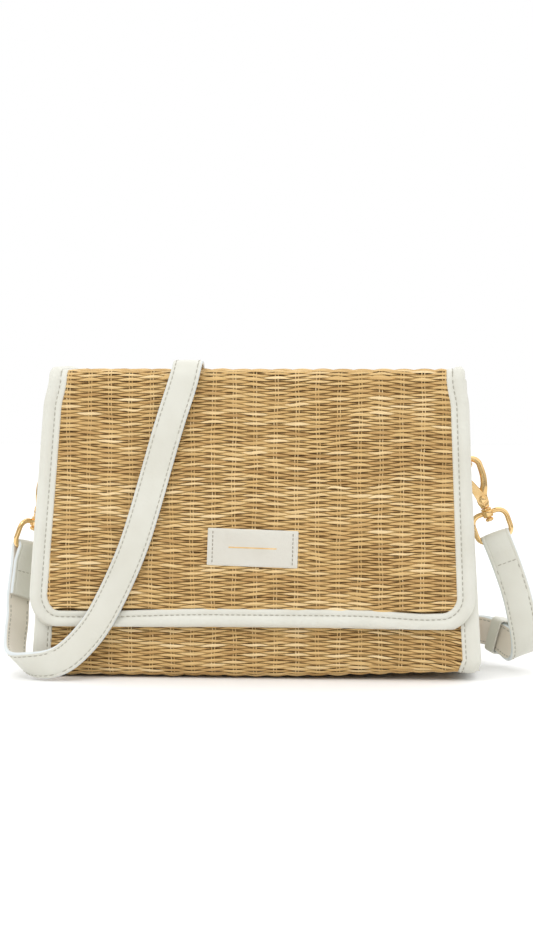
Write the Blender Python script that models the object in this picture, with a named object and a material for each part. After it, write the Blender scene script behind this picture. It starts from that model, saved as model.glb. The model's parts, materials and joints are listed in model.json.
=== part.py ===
"""A crossbody purse of woven straw and off-white leathercloth, with a flap and a clip-on strap.

Metres, +Z up. The origin is on the floor under the middle of the bag. The front faces -Y.
"""

import math

import bmesh
import bpy
from mathutils import Matrix, Vector

MM = 0.001
GAP = 0.3 * MM  # between pieces that touch

# The bag's body, which narrows from the base to the rim.
BASE_WIDTH = 245 * MM
TOP_WIDTH = 227 * MM
BASE_DEPTH = 70 * MM
TOP_DEPTH = 54 * MM
RIM_HEIGHT = 163.5 * MM
PANEL_HEIGHT = 162 * MM  # the panels stop just under the flap's bend
GUSSET_HEIGHT = 157 * MM
PANEL = 2.5 * MM  # straw on its backing
GUSSET = 2 * MM
LINING = 0.8 * MM
BINDING_WIDTH = 10 * MM
BINDING_PROUD = 0.4 * MM
GUSSET_INSET = 9 * MM  # from the bound edges in to the gusset's outer face

# The flap, which is sewn along the back edge, crosses the top and hangs down the front.
FLAP_HEM = 28 * MM  # height of its lower edge above the floor
FLAP_HEM_BINDING = 9 * MM
FLAP_DRIFT = -3 * MM  # how far its lower edge hangs off centre
FLAP_CORNER = 2 * MM
FLAP_LINING_OFFSET = 1.3 * MM  # middle of each layer, out from the front panel's face
FLAP_BINDING_OFFSET = 2.9 * MM
FLAP_PANEL_OFFSET = 3.25 * MM
FLAP_BINDING = 4 * MM
LABEL_SIZE = (50 * MM, 20 * MM, 1 * MM)
LABEL_PLACE = (-1.0 * MM, 70.6 * MM)
LABEL_TILT = math.radians(-1.8)
SNAP_HEIGHT = 60 * MM
SNAP_RADIUS = 7 * MM

# The hardware at each side: tab, D-ring, swivel clip.
TAB_WIDTH = 14 * MM
TAB_RISE = 20 * MM
BAR_OFF_GUSSET = 3.45 * MM
PIVOT_HEIGHT = {"left": 120.2 * MM, "right": 126.8 * MM}  # of each D-ring's straight bar
RING_WIRE = 1.5 * MM
RING_HALF_WIDTH = 9.5 * MM
RING_DROP = 13.5 * MM
RING_LEAN = math.radians(26)
CLIP_LEAN = math.radians(20)
HOOK_WIRE = 1.65 * MM
HUB_DROP = 20 * MM
RIVET_RADIUS = 1.1 * MM
POST_RADIUS = 1.3 * MM
GATE_TIP = (-4.6 * MM, 15.1 * MM)  # from the hub, at rest against the hook's tip
GATE_CHEEK = 3.1 * MM  # half width across both cheeks
GATE_SLOT = 2.3 * MM  # half the space between them, for the hub
GATE_SLOT_TOP = 12 * MM  # clear of the hook's back when the gate is pressed in
EYE_WIRE = 1.4 * MM
EYE_HALF_WIDTH = 9.75 * MM
EYE_TOP = 27.9 * MM
EYE_BOTTOM = 43.4 * MM
EYE_CORNER = 5 * MM
LEFT_EYE_TURN = math.radians(50)

# The strap, a flat band, with its pin buckle and keeper.
STRAP_WIDTH = 16 * MM
STRAP_THICKNESS = 2.5 * MM
STRAP_STEP = 9 * MM
BUCKLE_PLACE = Vector((101, 64, 14.2)) * MM
BUCKLE_ALONG = Vector((0.69, -0.70, 0.18)).normalized()
BUCKLE_OUT = Vector((0.712, 0.702, 0.0)).normalized()
BUCKLE_WIRE = 1.3 * MM
BUCKLE_HALF_LENGTH = 8 * MM
BUCKLE_HALF_HEIGHT = 9.7 * MM
PRONG_WIRE = 0.9 * MM
KEEPER_WIDTH = 8 * MM
KEEPER_WALL = 1.2 * MM
KEEPER_PLAY = (0.9 * MM, 1.1 * MM)  # across and out, round the two layers of strap
LAYER_STEP = 2.9 * MM  # from one strap's middle to the other's, where they lie together

# The strap's route: a point in millimetres, then the way its finished face looks.
LONG_ROUTE = [
    ((-132, 0, 65.2), (-0.77, 0.64, 0)),
    ((-132.6, -2.5, 55), (-0.75, 0.62, -0.1)),
    ((-133.4, -7, 43), (-0.76, 0.6, -0.15)),
    ((-133.8, -13.5, 29.5), (-0.78, 0.5, -0.3)),
    ((-133.6, -23, 17.3), (-0.78, 0.25, -0.55)),
    ((-129.8, -38.6, 9.4), (-0.6, -0.3, -0.72)),
    ((-119.5, -48.2, 8.2), (-0.3, -0.85, -0.45)),
    ((-107.5, -50.6, 9.8), (-0.1, -0.97, -0.15)),
    ((-97.8, -48, 15.5), (0, -1, 0)),
    ((-86.7, -43.2, 28), (0, -1, 0.05)),
    ((-78, -39.8, 43.5), (0, -1, 0.05)),
    ((-67.6, -38.6, 66.5), (0, -1, 0.05)),
    ((-59.8, -37.5, 89.7), (0, -1, 0.05)),
    ((-47.4, -35.4, 133.7), (0, -1, 0.05)),
    ((-39.6, -34.7, 158.5), (0, -1, 0.1)),
    ((-37.4, -32.4, 167.4), (0, -0.7, 0.7)),
    ((-37.3, -26, 170.8), (0, -0.1, 1)),
    ((-39.5, 0, 170.8), (0, 0, 1)),
    ((-41.5, 22, 170.7), (0, 0.1, 1)),
    ((-42, 31.2, 167.2), (0, 0.7, 0.7)),
    ((-42.5, 34, 158), (0, 1, 0.1)),
    ((-36, 34, 120), (0, 1, 0)),
    ((-26, 35.6, 75), (0, 1, 0)),
    ((-17, 37.5, 38), (0, 1, 0.05)),
    ((-12.5, 39.8, 20), (0, 0.95, 0.25)),
    ((-9.5, 44.5, 8.5), (0, 0.7, 0.7)),
    ((-6, 55, 2.8), (-0.05, 0.15, 1)),
    ((-5, 70, 2.6), (-0.1, 0, 1)),
    ((-3.5, 88, 5.6), (-0.5, 0, 0.86)),
    ((-1, 103, 7.6), (-0.86, 0, 0.5)),
    ((3, 118, 7.9), (-1, 0.1, 0)),
    ((10, 139, 7.8), (-0.87, 0.5, 0)),
    ((25, 155, 7.8), (-0.5, 0.87, 0)),
    ((46, 161, 7.8), (0, 1, 0)),
    ((67, 155, 7.8), (0.5, 0.87, 0)),
    ((81, 140, 7.9), (0.87, 0.5, 0)),
    ((86, 118, 8.2), (1, 0, 0)),
    ((85.5, 98, 9), (1, 0, 0)),
    ((87, 81, 10.8), (0.95, 0.3, 0)),
    ((93.4, 67.6, 12.7), (0.712, 0.702, 0)),
    ((101.4, 64.4, 14.2), (0.712, 0.702, 0)),
    ((109.4, 61.2, 15.7), (0.712, 0.702, 0)),
    ((115.6, 53.4, 17.4), (0.712, 0.702, 0)),
    ((120, 48.7, 18.4), (0.71, 0.71, 0)),
    ((127.2, 40.3, 18.8), (0.7, 0.71, 0)),
    ((133.7, 31.7, 17.1), (0.68, 0.72, -0.1)),
    ((137.2, 26.3, 15.2), (0.65, 0.72, -0.25)),
]
SHORT_ROUTE = [
    ((131.7, 0, 71.8), (0, -1, 0)),
    ((137, -2.5, 58), (0, -1, 0)),
    ((141.6, -3.5, 44), (0, -1, 0)),
    ((145, -2.6, 29), (0.05, -0.98, -0.15)),
    ((146.8, 0.8, 17.5), (0.15, -0.85, -0.5)),
    ((146, 6.5, 11), (0.3, -0.25, -0.92)),
    ((142.6, 13, 10.5), (0.45, 0.45, -0.78)),
    ((137.8, 20.5, 13.6), (0.6, 0.72, -0.35)),
    ((131.6, 29.6, 17.2), (0.68, 0.72, -0.1)),
    ((125, 38.2, 18.8), (0.7, 0.71, 0)),
    ((117, 47.6, 18.2), (0.712, 0.702, 0)),
    ((108.6, 56.3, 16.2), (0.712, 0.702, 0)),
]
KEEPER_ROUTE_INDEX = 8  # the keeper sits at this point of the short strap


def clear_scene():
    for old in list(bpy.data.objects):
        bpy.data.objects.remove(old)


def material(name, colour, roughness, metallic=0.0):
    made = bpy.data.materials.new(name)
    made.use_nodes = True
    shader = made.node_tree.nodes["Principled BSDF"]
    shader.inputs["Base Color"].default_value = (*colour, 1.0)
    shader.inputs["Roughness"].default_value = roughness
    shader.inputs["Metallic"].default_value = metallic
    return made


def straw(name):
    return material(name, (0.58, 0.38, 0.17), 0.75)


def leathercloth(name):
    return material(name, (0.84, 0.83, 0.78), 0.45)


def lining_cloth(name):
    return material(name, (0.62, 0.53, 0.40), 0.85)


def gold(name):
    return material(name, (0.83, 0.60, 0.30), 0.25, 1.0)


def mesh_object(name, points, faces, finish, parent=None, smooth=False):
    """One closed mesh as an object, its faces turned outwards."""
    mesh = bpy.data.meshes.new(name)
    mesh.from_pydata([tuple(p) for p in points], [], faces)
    shell = bmesh.new()
    shell.from_mesh(mesh)
    bmesh.ops.recalc_face_normals(shell, faces=shell.faces)
    shell.to_mesh(mesh)
    shell.free()
    if smooth:
        mesh.shade_smooth()
        mesh.set_sharp_from_angle(angle=math.radians(35))
    made = bpy.data.objects.new(name, mesh)
    bpy.context.scene.collection.objects.link(made)
    if finish:
        mesh.materials.append(finish)
    made.parent = parent
    return made


def loft(name, rings, finish, parent=None, smooth=False, closed=False):
    """Joins rings of points in order. An open loft gets flat ends, a closed one meets itself."""
    sides = len(rings[0])
    points = [p for ring in rings for p in ring]
    faces = []
    for i in range(len(rings) if closed else len(rings) - 1):
        here = i * sides
        there = (i + 1) % len(rings) * sides
        for j in range(sides):
            k = (j + 1) % sides
            faces.append((here + j, here + k, there + k, there + j))
    if not closed:
        faces.append(tuple(range(sides)))
        faces.append(tuple(range((len(rings) - 1) * sides, len(rings) * sides)))
    return mesh_object(name, points, faces, finish, parent, smooth)


def tapered_box(name, low, high, x_range, y_range, finish):
    """A block between two heights, whose sides at each height come from the two functions."""
    rings = []
    for z in (low, high):
        x0, x1 = x_range(z)
        y0, y1 = y_range(z)
        rings.append([Vector(p) for p in ((x0, y0, z), (x1, y0, z), (x1, y1, z), (x0, y1, z))])
    return loft(name, rings, finish)


def cylinder(name, radius, half_length, centre, along, finish=None, parent=None, sides=16):
    """A round bar about an axis, X, Y or Z."""
    turn = Vector(along).to_track_quat("Z", "Y").to_matrix()
    rings = []
    for height in (-half_length, half_length):
        angles = [math.tau * i / sides for i in range(sides)]
        rings.append(
            [
                Vector(centre) + turn @ Vector((radius * math.cos(a), radius * math.sin(a), height))
                for a in angles
            ]
        )
    return loft(name, rings, finish, parent, smooth=True)


def block(name, low, high, finish=None, parent=None):
    """A box between two opposite corners."""
    x0, y0, bottom = low
    x1, y1, top = high
    corners = ((x0, y0), (x1, y0), (x1, y1), (x0, y1))
    rings = [[Vector((x, y, z)) for x, y in corners] for z in (bottom, top)]
    return loft(name, rings, finish, parent)


def cut(body, tool, operation="DIFFERENCE"):
    """Cuts or joins with a hidden tool by an exact Boolean."""
    tool.hide_render = True
    tool.display_type = "WIRE"
    change = body.modifiers.new(tool.name, "BOOLEAN")
    change.operation = operation
    change.object = tool
    change.solver = "EXACT"


def empty(name, place=(0, 0, 0), turn=(0, 0, 0), parent=None):
    made = bpy.data.objects.new(name, None)
    bpy.context.scene.collection.objects.link(made)
    made.location = place
    made.rotation_euler = turn
    made.parent = parent
    return made


def half_width(z):
    return (BASE_WIDTH + (TOP_WIDTH - BASE_WIDTH) * z / RIM_HEIGHT) / 2


def half_depth(z):
    return (BASE_DEPTH + (TOP_DEPTH - BASE_DEPTH) * z / RIM_HEIGHT) / 2


FRONT_SLOPE = math.atan((BASE_DEPTH - TOP_DEPTH) / 2 / RIM_HEIGHT)
SIDE_SLOPE = math.atan((BASE_WIDTH - TOP_WIDTH) / 2 / RIM_HEIGHT)


def both(limit):
    """A symmetric range as a function of height."""
    return lambda z: (-limit(z), limit(z))


def between(low, high):
    """A range between two functions of height, in order."""
    return lambda z: tuple(sorted((low(z), high(z))))


def panel_edge(z):
    """Where a straw panel ends and its side binding begins."""
    return half_width(z) - BINDING_WIDTH - GAP


def gusset_face(z):
    return half_width(z) - GUSSET_INSET


def make_body(straws, leather):
    """Front and back panels with bound side edges, gussets and the base."""
    for side, name in ((-1, "front"), (1, "back")):
        depth = between(lambda z: side * half_depth(z), lambda z: side * (half_depth(z) - PANEL))
        panel = tapered_box(f"{name}_panel", 0, PANEL_HEIGHT, both(panel_edge), depth, straws)
        if name == "front":
            cut_for_snap(panel)
        bound = between(
            lambda z: side * (half_depth(z) + BINDING_PROUD),
            lambda z: side * (half_depth(z) - PANEL),
        )
        for hand, hand_name in ((-1, "left"), (1, "right")):
            strip = between(
                lambda z: hand * half_width(z), lambda z: hand * (half_width(z) - BINDING_WIDTH)
            )
            tapered_box(f"{name}_binding_{hand_name}", 0, PANEL_HEIGHT, strip, bound, leather)
    inner_depth = both(lambda z: half_depth(z) - PANEL - GAP)
    for hand, name in ((-1, "left"), (1, "right")):
        wall = between(lambda z: hand * gusset_face(z), lambda z: hand * (gusset_face(z) - GUSSET))
        tapered_box(f"gusset_{name}", PANEL + GAP, GUSSET_HEIGHT, wall, inner_depth, leather)
    tapered_box("base_panel", 0, PANEL, both(gusset_face), inner_depth, leather)


def snap_disc(name, radius, inner, outer, finish=None):
    """A disc let into the front, between two distances out from the front panel's face."""
    out = Vector((0, -math.cos(FRONT_SLOPE), math.sin(FRONT_SLOPE)))
    face = Vector((FLAP_DRIFT, -half_depth(SNAP_HEIGHT), SNAP_HEIGHT))
    middle = face + out * (inner + outer) / 2
    return cylinder(name, radius, (outer - inner) / 2, middle, out, finish, sides=20)


def cut_for_snap(panel):
    cut(panel, snap_disc("socket_hole", SNAP_RADIUS + GAP, -2 * PANEL, PANEL))


def make_lining(cloth):
    """A thin cup inside the panels, with a flat slip pocket on its back wall."""
    floor = PANEL + GAP
    top = GUSSET_HEIGHT

    def out_y(z):
        return half_depth(z) - PANEL - 2 * GAP

    def ring(z, inset):
        x = gusset_face(z) - GUSSET - GAP - inset
        y = out_y(z) - inset
        return [Vector((sx * x, sy * y, z)) for sx, sy in ((-1, -1), (1, -1), (1, 1), (-1, 1))]

    loft(
        "body_lining",
        [ring(floor, 0), ring(top, 0), ring(top, LINING), ring(floor + LINING, LINING)],
        cloth,
    )

    def wall(z):
        return out_y(z) - LINING - GAP

    tapered_box(
        "inner_pocket",
        35 * MM,
        125 * MM,
        both(lambda z: 65 * MM),
        between(wall, lambda z: wall(z) - LINING),
        cloth,
    )


def flap_profile(offset, hem):
    """Points down the middle of a flap layer, with the way out at each: top, corner, front."""
    centre_z = RIM_HEIGHT - FLAP_CORNER
    centre_y = -half_depth(centre_z) + FLAP_CORNER / math.cos(FRONT_SLOPE)
    radius = FLAP_CORNER + offset
    back = half_depth(RIM_HEIGHT) - FLAP_CORNER
    path = [(Vector((0, back, RIM_HEIGHT + offset)), Vector((0, 0, 1)))]
    steps = 4
    for i in range(steps + 1):
        angle = math.pi / 2 + (math.pi / 2 - FRONT_SLOPE) * i / steps
        out = Vector((0, math.cos(angle), math.sin(angle)))
        path.append((Vector((0, centre_y, centre_z)) + out * radius, out))
    out = path[-1][1]
    foot = -half_depth(hem) - offset * math.cos(FRONT_SLOPE)
    path.append((Vector((0, foot, hem)), out))
    return path


def flap_layer(name, offset, thickness, margin, hem, finish=None):
    """One layer of the flap as a bent sheet; margin is how far its sides stand in."""
    rings = []
    for point, out in flap_profile(offset, hem):
        height = min(point.z, RIM_HEIGHT)
        drift = FLAP_DRIFT * (1 - height / RIM_HEIGHT)
        reach = half_width(height) + 1 * MM - margin
        left = point + Vector((drift - reach, 0, 0))
        right = point + Vector((drift + reach, 0, 0))
        half = out * thickness / 2
        rings.append([left - half, right - half, right + half, left + half])
    return loft(name, rings, finish)


def make_flap(straws, leather, cloth, metal):
    hinge = empty("flap_hinge", (0, half_depth(RIM_HEIGHT), RIM_HEIGHT + FLAP_BINDING_OFFSET))
    hem_edge = FLAP_HEM + FLAP_HEM_BINDING + GAP
    inside = BINDING_WIDTH + GAP
    panel = flap_layer("flap_panel", FLAP_PANEL_OFFSET, PANEL, inside, hem_edge, straws)
    lining = flap_layer("flap_lining", FLAP_LINING_OFFSET, LINING, inside, hem_edge, cloth)
    cut(lining, snap_disc("stud_hole", SNAP_RADIUS - GAP, 0, 2 * MM))
    binding = flap_layer("flap_binding", FLAP_BINDING_OFFSET, FLAP_BINDING, 0, FLAP_HEM, leather)
    opening = FLAP_HEM + FLAP_HEM_BINDING
    window = flap_layer("flap_window", FLAP_BINDING_OFFSET, 2 * FLAP_BINDING, BINDING_WIDTH, opening)
    for vertex in window.data.vertices:
        if vertex.co.y > 0:
            vertex.co.y += BINDING_WIDTH
    cut(binding, window)
    stud = snap_disc("snap_stud", SNAP_RADIUS - 2 * GAP, 0.6 * MM, 1.7 * MM, metal)
    wide, high, thick = (s / 2 for s in LABEL_SIZE)
    label = block("label_patch", (-wide, -thick, -high), (wide, thick, high), leather)
    out = Vector((0, -math.cos(FRONT_SLOPE), math.sin(FRONT_SLOPE)))
    face = Vector((LABEL_PLACE[0], -half_depth(LABEL_PLACE[1]), LABEL_PLACE[1]))
    stand_off = FLAP_PANEL_OFFSET + PANEL / 2 + GAP + thick
    label.matrix_world = (
        Matrix.Translation(face + out * stand_off)
        @ Matrix.Rotation(-FRONT_SLOPE, 4, "X")
        @ Matrix.Rotation(-LABEL_TILT, 4, "Y")
    )
    for piece in (panel, lining, binding, stud, label):
        bpy.context.view_layer.update()
        place = piece.matrix_world.copy()
        piece.parent = hinge
        bpy.context.view_layer.update()
        piece.matrix_world = place
    snap_disc("snap_socket", SNAP_RADIUS, -2.2 * MM, 0.25 * MM, metal)


def make_seam_strip(leather):
    """The strip across the back that the flap is sewn under."""
    tapered_box(
        "back_seam_strip",
        PANEL_HEIGHT - 14 * MM,
        PANEL_HEIGHT,
        both(panel_edge),
        between(lambda z: half_depth(z) + GAP, lambda z: half_depth(z) + 1.5 * MM),
        leather,
    )


def swept_rings(path, sides):
    """Rings along a path in the XZ plane; each step is x, z, half width, half depth in mm."""
    points = [Vector((x, 0, z)) * MM for x, z, _, _ in path]
    rings = []
    for i, (_, _, wide, deep) in enumerate(path):
        along = points[min(i + 1, len(path) - 1)] - points[max(i - 1, 0)]
        across = Vector((along.z, 0, -along.x)).normalized()
        ring = []
        for j in range(sides):
            angle = math.tau * j / sides
            reach = across * wide * math.cos(angle) + Vector((0, deep * math.sin(angle), 0))
            ring.append(points[i] + reach * MM)
        rings.append(ring)
    return rings


def wire_loop(name, corners, wire, up, finish, parent, sides=8):
    """A closed loop of round wire through points that lie in one plane, with its normal up."""
    rings = []
    count = len(corners)
    for i, point in enumerate(corners):
        along = (corners[(i + 1) % count] - corners[i - 1]).normalized()
        across = along.cross(up)
        angles = [math.tau * (j + 0.5) / sides for j in range(sides)]
        rings.append([point + (across * math.cos(a) + up * math.sin(a)) * wire for a in angles])
    return loft(name, rings, finish, parent, smooth=True, closed=True)


def arc(centre, radius, start, end, steps):
    """Points on an arc as pairs, angles in degrees."""
    points = []
    for i in range(steps + 1):
        angle = math.radians(start + (end - start) * i / steps)
        points.append((centre[0] + radius * math.cos(angle), centre[1] + radius * math.sin(angle)))
    return points


def make_tab(name, frame, leather):
    """A folded tab on the gusset, round the D-ring's straight bar, which is at the origin."""
    hole = RING_WIRE + GAP
    outer = BAR_OFF_GUSSET - GAP
    outline = arc((0, 0), outer, -180, 0, 8)
    outline += [(outer * 0.9, 5 * MM), (0, 7 * MM), (0, TAB_RISE), (-outer, TAB_RISE)]
    rings = [
        [Vector((x, y, z)) for x, z in outline] for y in (-TAB_WIDTH / 2, TAB_WIDTH / 2)
    ]
    tab = loft(f"ring_tab_{name}", rings, leather, frame)
    tab.rotation_euler = (0, -SIDE_SLOPE, 0)
    cut(tab, cylinder(f"tab_hole_{name}", hole, TAB_WIDTH, (0, 0, 0), (0, 1, 0), parent=frame))
    return tab


def make_d_ring(name, pivot, metal):
    corner = 2 * MM
    straight = RING_DROP - RING_HALF_WIDTH
    side = RING_HALF_WIDTH
    outline = arc((side - corner, -corner), corner, 90, 0, 3)
    outline += arc((0, -straight), side, 0, -180, 16)
    outline += arc((corner - side, -corner), corner, 180, 90, 3)
    points = [Vector((0, y, z)) for y, z in outline]
    return wire_loop(f"d_ring_{name}", points, RING_WIRE, Vector((1, 0, 0)), metal, pivot)


def make_hook(name, clip, metal):
    """Hook, hub and swivel post in one casting. The D-ring's wire is at the origin."""
    bight = HOOK_WIRE / MM + (RING_WIRE + 2 * GAP) / MM + 1.2
    centre = -1.5
    wire = HOOK_WIRE / MM
    path = [(-bight, centre - 2, wire, wire)]
    path += [(x, z, wire, wire) for x, z in arc((0, centre), bight, 180, 0, 10)]
    path += [
        (4.7, -8, 1.8, 1.7),
        (3.2, -13.5, 2.0, 1.8),
        (0.8, -17.5, 2.8, 1.9),
        (0, -20, 3.2, 1.9),
        (0, -22.5, 3.0, 1.9),
        (0, -24.6, 2.4, 1.9),
        (0, -24.9, POST_RADIUS / MM, POST_RADIUS / MM),
        (0, -30.9, POST_RADIUS / MM, POST_RADIUS / MM),
        (0, -31.0, 2.2, 2.2),
        (0, -32.6, 2.0, 2.0),
    ]
    hook = loft(f"hook_{name}", swept_rings(path, 10), metal, clip, smooth=True)
    hub = (0, 0, -HUB_DROP)
    hole = cylinder(f"hub_hole_{name}", RIVET_RADIUS + GAP, 9 * MM, hub, (0, 1, 0), parent=clip)
    cut(hook, hole)
    return hook


def make_gate(name, clip, metal):
    """The gate: two cheeks beside the hub that close into a tongue up to the hook's tip."""
    pivot = empty(f"gate_pivot_{name}", (0, 0, -HUB_DROP), parent=clip)
    lean = math.degrees(math.atan2(-GATE_TIP[0], GATE_TIP[1]))
    outline = arc((0, 0), 2.9 * MM, 180 + lean, 360 + lean, 8)
    outline += arc(GATE_TIP, 1.2 * MM, lean, 180 + lean, 4)
    rings = [[Vector((x, y, z)) for x, z in outline] for y in (-GATE_CHEEK, GATE_CHEEK)]
    gate = loft(f"gate_{name}", rings, metal, pivot)
    reach = 6 * MM
    low = (-reach, -GATE_SLOT, -reach)
    high = (reach, GATE_SLOT, GATE_SLOT_TOP)
    cut(gate, block(f"gate_slot_{name}", low, high, parent=pivot))
    origin = (0, 0, 0)
    bore = cylinder(f"gate_bore_{name}", RIVET_RADIUS + GAP, 9 * MM, origin, (0, 1, 0), parent=pivot)
    cut(gate, bore)
    return gate


def make_rivet(name, clip, metal):
    """The gate's pin, with a low head at each side."""
    head = 2.1 * MM
    profile = [(head * 0.7, 4.3), (head, 3.9), (head, 3.4), (RIVET_RADIUS, 3.4)]
    steps = [(r, -y) for r, y in profile] + [(r, y) for r, y in reversed(profile)]
    rings = []
    for radius, y in steps:
        angles = [math.tau * i / 12 for i in range(12)]
        rings.append(
            [
                Vector((radius * math.cos(a), y * MM, radius * math.sin(a) - HUB_DROP))
                for a in angles
            ]
        )
    return loft(f"gate_rivet_{name}", rings, metal, clip, smooth=True)


def make_eye(name, clip, metal, turn):
    """The swivel eye: a rounded loop of wire with a boss that turns on the hook's post."""
    swivel = empty(f"swivel_{name}", (0, 0, -EYE_TOP), (0, 0, turn), clip)
    low = EYE_TOP - EYE_BOTTOM
    side = EYE_HALF_WIDTH - EYE_CORNER
    outline = []
    for x, z, start in ((1, 0, 90), (1, 1, 0), (-1, 1, -90), (-1, 0, -180)):
        centre = (x * side, low + EYE_CORNER if z else -EYE_CORNER)
        outline += arc(centre, EYE_CORNER, start, start - 90, 4)
    points = [Vector((x, 0, z)) for x, z in outline]
    eye = wire_loop(f"swivel_eye_{name}", points, EYE_WIRE, Vector((0, 1, 0)), metal, swivel)
    origin = (0, 0, 0)
    upright = (0, 0, 1)
    boss = cylinder(f"boss_{name}", 3.3 * MM, 2.5 * MM, origin, upright, parent=swivel)
    bore = cylinder(f"boss_bore_{name}", POST_RADIUS + GAP, 6 * MM, origin, upright, parent=swivel)
    cut(eye, boss, "UNION")
    cut(eye, bore)
    return eye


def make_side(name, turn, eye_turn, leather, metal):
    """Everything on one side, modelled with X outwards and turned into place."""
    side = empty(f"side_{name}", turn=(0, 0, turn))
    height = PIVOT_HEIGHT[name]
    out = half_width(height) - GUSSET_INSET + BAR_OFF_GUSSET
    frame = empty(f"tab_frame_{name}", (out, 0, height), parent=side)
    make_tab(name, frame, leather)
    pivot = empty(f"ring_pivot_{name}", turn=(0, -RING_LEAN, 0), parent=frame)
    make_d_ring(name, pivot, metal)
    clip = empty(f"clip_{name}", (0, 0, -RING_DROP), (0, RING_LEAN - CLIP_LEAN, 0), pivot)
    make_hook(name, clip, metal)
    make_gate(name, clip, metal)
    make_rivet(name, clip, metal)
    make_eye(name, clip, metal, eye_turn)


def through(values, t):
    """A smooth curve through a list of vectors, t counting from point to point."""
    i = min(int(t), len(values) - 2)
    f = t - i
    a = values[max(i - 1, 0)]
    b, c = values[i], values[i + 1]
    d = values[min(i + 2, len(values) - 1)]
    return (
        b * 2 + (c - a) * f + (a * 2 - b * 5 + c * 4 - d) * f * f + (b * 3 - a - c * 3 + d) * f**3
    ) / 2


def strap_stations(route):
    """Centre, across and out vectors along a route, at even steps."""
    points = [Vector(p) * MM for p, _ in route]
    faces = [Vector(n).normalized() for _, n in route]
    fine = 12
    samples = [i / fine for i in range((len(route) - 1) * fine + 1)]
    places = [through(points, t) for t in samples]
    run = [0.0]
    for a, b in zip(places, places[1:]):
        run.append(run[-1] + (b - a).length)
    count = round(run[-1] / STRAP_STEP)
    stations = []
    k = 0
    for i in range(count + 1):
        want = run[-1] * i / count
        while k < len(run) - 2 and run[k + 1] < want:
            k += 1
        t = samples[k] + (want - run[k]) / (run[k + 1] - run[k]) / fine
        here = through(points, t)
        step = 0.02
        last = len(route) - 1
        along = through(points, min(t + step, last)) - through(points, max(t - step, 0))
        along.normalize()
        out = through(faces, t)
        out = (out - along * out.dot(along)).normalized()
        stations.append((here, along.cross(out), out))
    return stations


def strap(name, route, finish):
    rings = []
    for here, across, out in strap_stations(route):
        a = across * STRAP_WIDTH / 2
        b = out * STRAP_THICKNESS / 2
        rings.append([here - a - b, here + a - b, here + a + b, here - a + b])
    return loft(name, rings, finish)


def buckle_frame_matrix():
    """Buckle axes: X along the strap to the short side, Y across it, Z out of its face."""
    across = BUCKLE_OUT.cross(BUCKLE_ALONG)
    turn = Matrix((BUCKLE_ALONG, across, BUCKLE_OUT)).transposed().to_4x4()
    return Matrix.Translation(BUCKLE_PLACE) @ turn


def make_buckle(leather, metal, long_strap):
    """A pin buckle: a round wire frame, and a prong that turns on its heel bar."""
    place = empty("buckle_place")
    place.matrix_world = buckle_frame_matrix()
    corner = 2.5 * MM
    x = BUCKLE_HALF_LENGTH - corner
    y = BUCKLE_HALF_HEIGHT - corner
    outline = []
    for sx, sy, start in ((1, 1, 90), (1, -1, 0), (-1, -1, -90), (-1, 1, -180)):
        outline += arc((sx * x, sy * y), corner, start, start - 90, 3)
    points = [Vector((px, py, 0)) for px, py in outline]
    wire_loop("buckle_frame", points, BUCKLE_WIRE, Vector((0, 0, 1)), metal, place)
    heel = empty("prong_pivot", (BUCKLE_HALF_LENGTH, 0, 0), parent=place)
    wire = PRONG_WIRE / MM
    path = [(-1.2, 1.0, 1.1, 1.2), (-8, 1.6, wire, wire), (-16.5, 2.6, wire, wire)]
    path.append((-17.6, 2.6, 0.7, 0.7))
    prong = loft("buckle_prong", swept_rings(path, 8), metal, heel, smooth=True)
    origin = (0, 0, 0)
    cut(prong, cylinder("prong_knuckle", 2.4 * MM, 1.5 * MM, origin, (0, 1, 0), parent=heel), "UNION")
    bore = cylinder("prong_bore", BUCKLE_WIRE + GAP, 4 * MM, origin, (0, 1, 0), parent=heel)
    cut(prong, bore)
    low = (-6 * MM, -1.9 * MM, -6 * MM)
    high = (11 * MM, 1.9 * MM, 6 * MM)
    cut(long_strap, block("prong_slot", low, high, parent=place))


def make_keeper(leather):
    """A loop of leathercloth round both layers of strap."""
    here, across, out = keeper_frame()
    along = out.cross(across).normalized()
    play_across, play_out = KEEPER_PLAY
    inner = (STRAP_WIDTH / 2 + play_across, (LAYER_STEP + STRAP_THICKNESS) / 2 + play_out)
    middle = here + out * LAYER_STEP / 2
    rings = []
    for side, wall in ((-1, 0), (1, 0), (1, KEEPER_WALL), (-1, KEEPER_WALL)):
        x, y = inner[0] + wall, inner[1] + wall
        corners = ((-x, -y), (x, -y), (x, y), (-x, y))
        end = middle + along * side * KEEPER_WIDTH / 2
        rings.append([end + across * a + out * b for a, b in corners])
    return loft("keeper_loop", rings, leather, closed=True)


def keeper_frame():
    """The short strap's frame at the keeper's point."""
    points = [Vector(p) * MM for p, _ in SHORT_ROUTE]
    i = KEEPER_ROUTE_INDEX
    along = (points[i + 1] - points[i - 1]).normalized()
    out = Vector(SHORT_ROUTE[i][1])
    out = (out - along * out.dot(along)).normalized()
    return points[i], along.cross(out), out


def make_purse():
    straws = straw("straw")
    leather = leathercloth("leathercloth")
    cloth = lining_cloth("lining")
    metal = gold("gold")
    make_body(straws, leather)
    make_lining(cloth)
    make_seam_strip(leather)
    make_flap(straws, leather, cloth, metal)
    make_side("right", 0.0, 0.0, leather, metal)
    make_side("left", math.pi, LEFT_EYE_TURN, leather, metal)
    long_strap = strap("strap_long", LONG_ROUTE, leather)
    strap("strap_short", SHORT_ROUTE, leather)
    make_buckle(leather, metal, long_strap)
    make_keeper(leather)


clear_scene()
make_purse()
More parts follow.
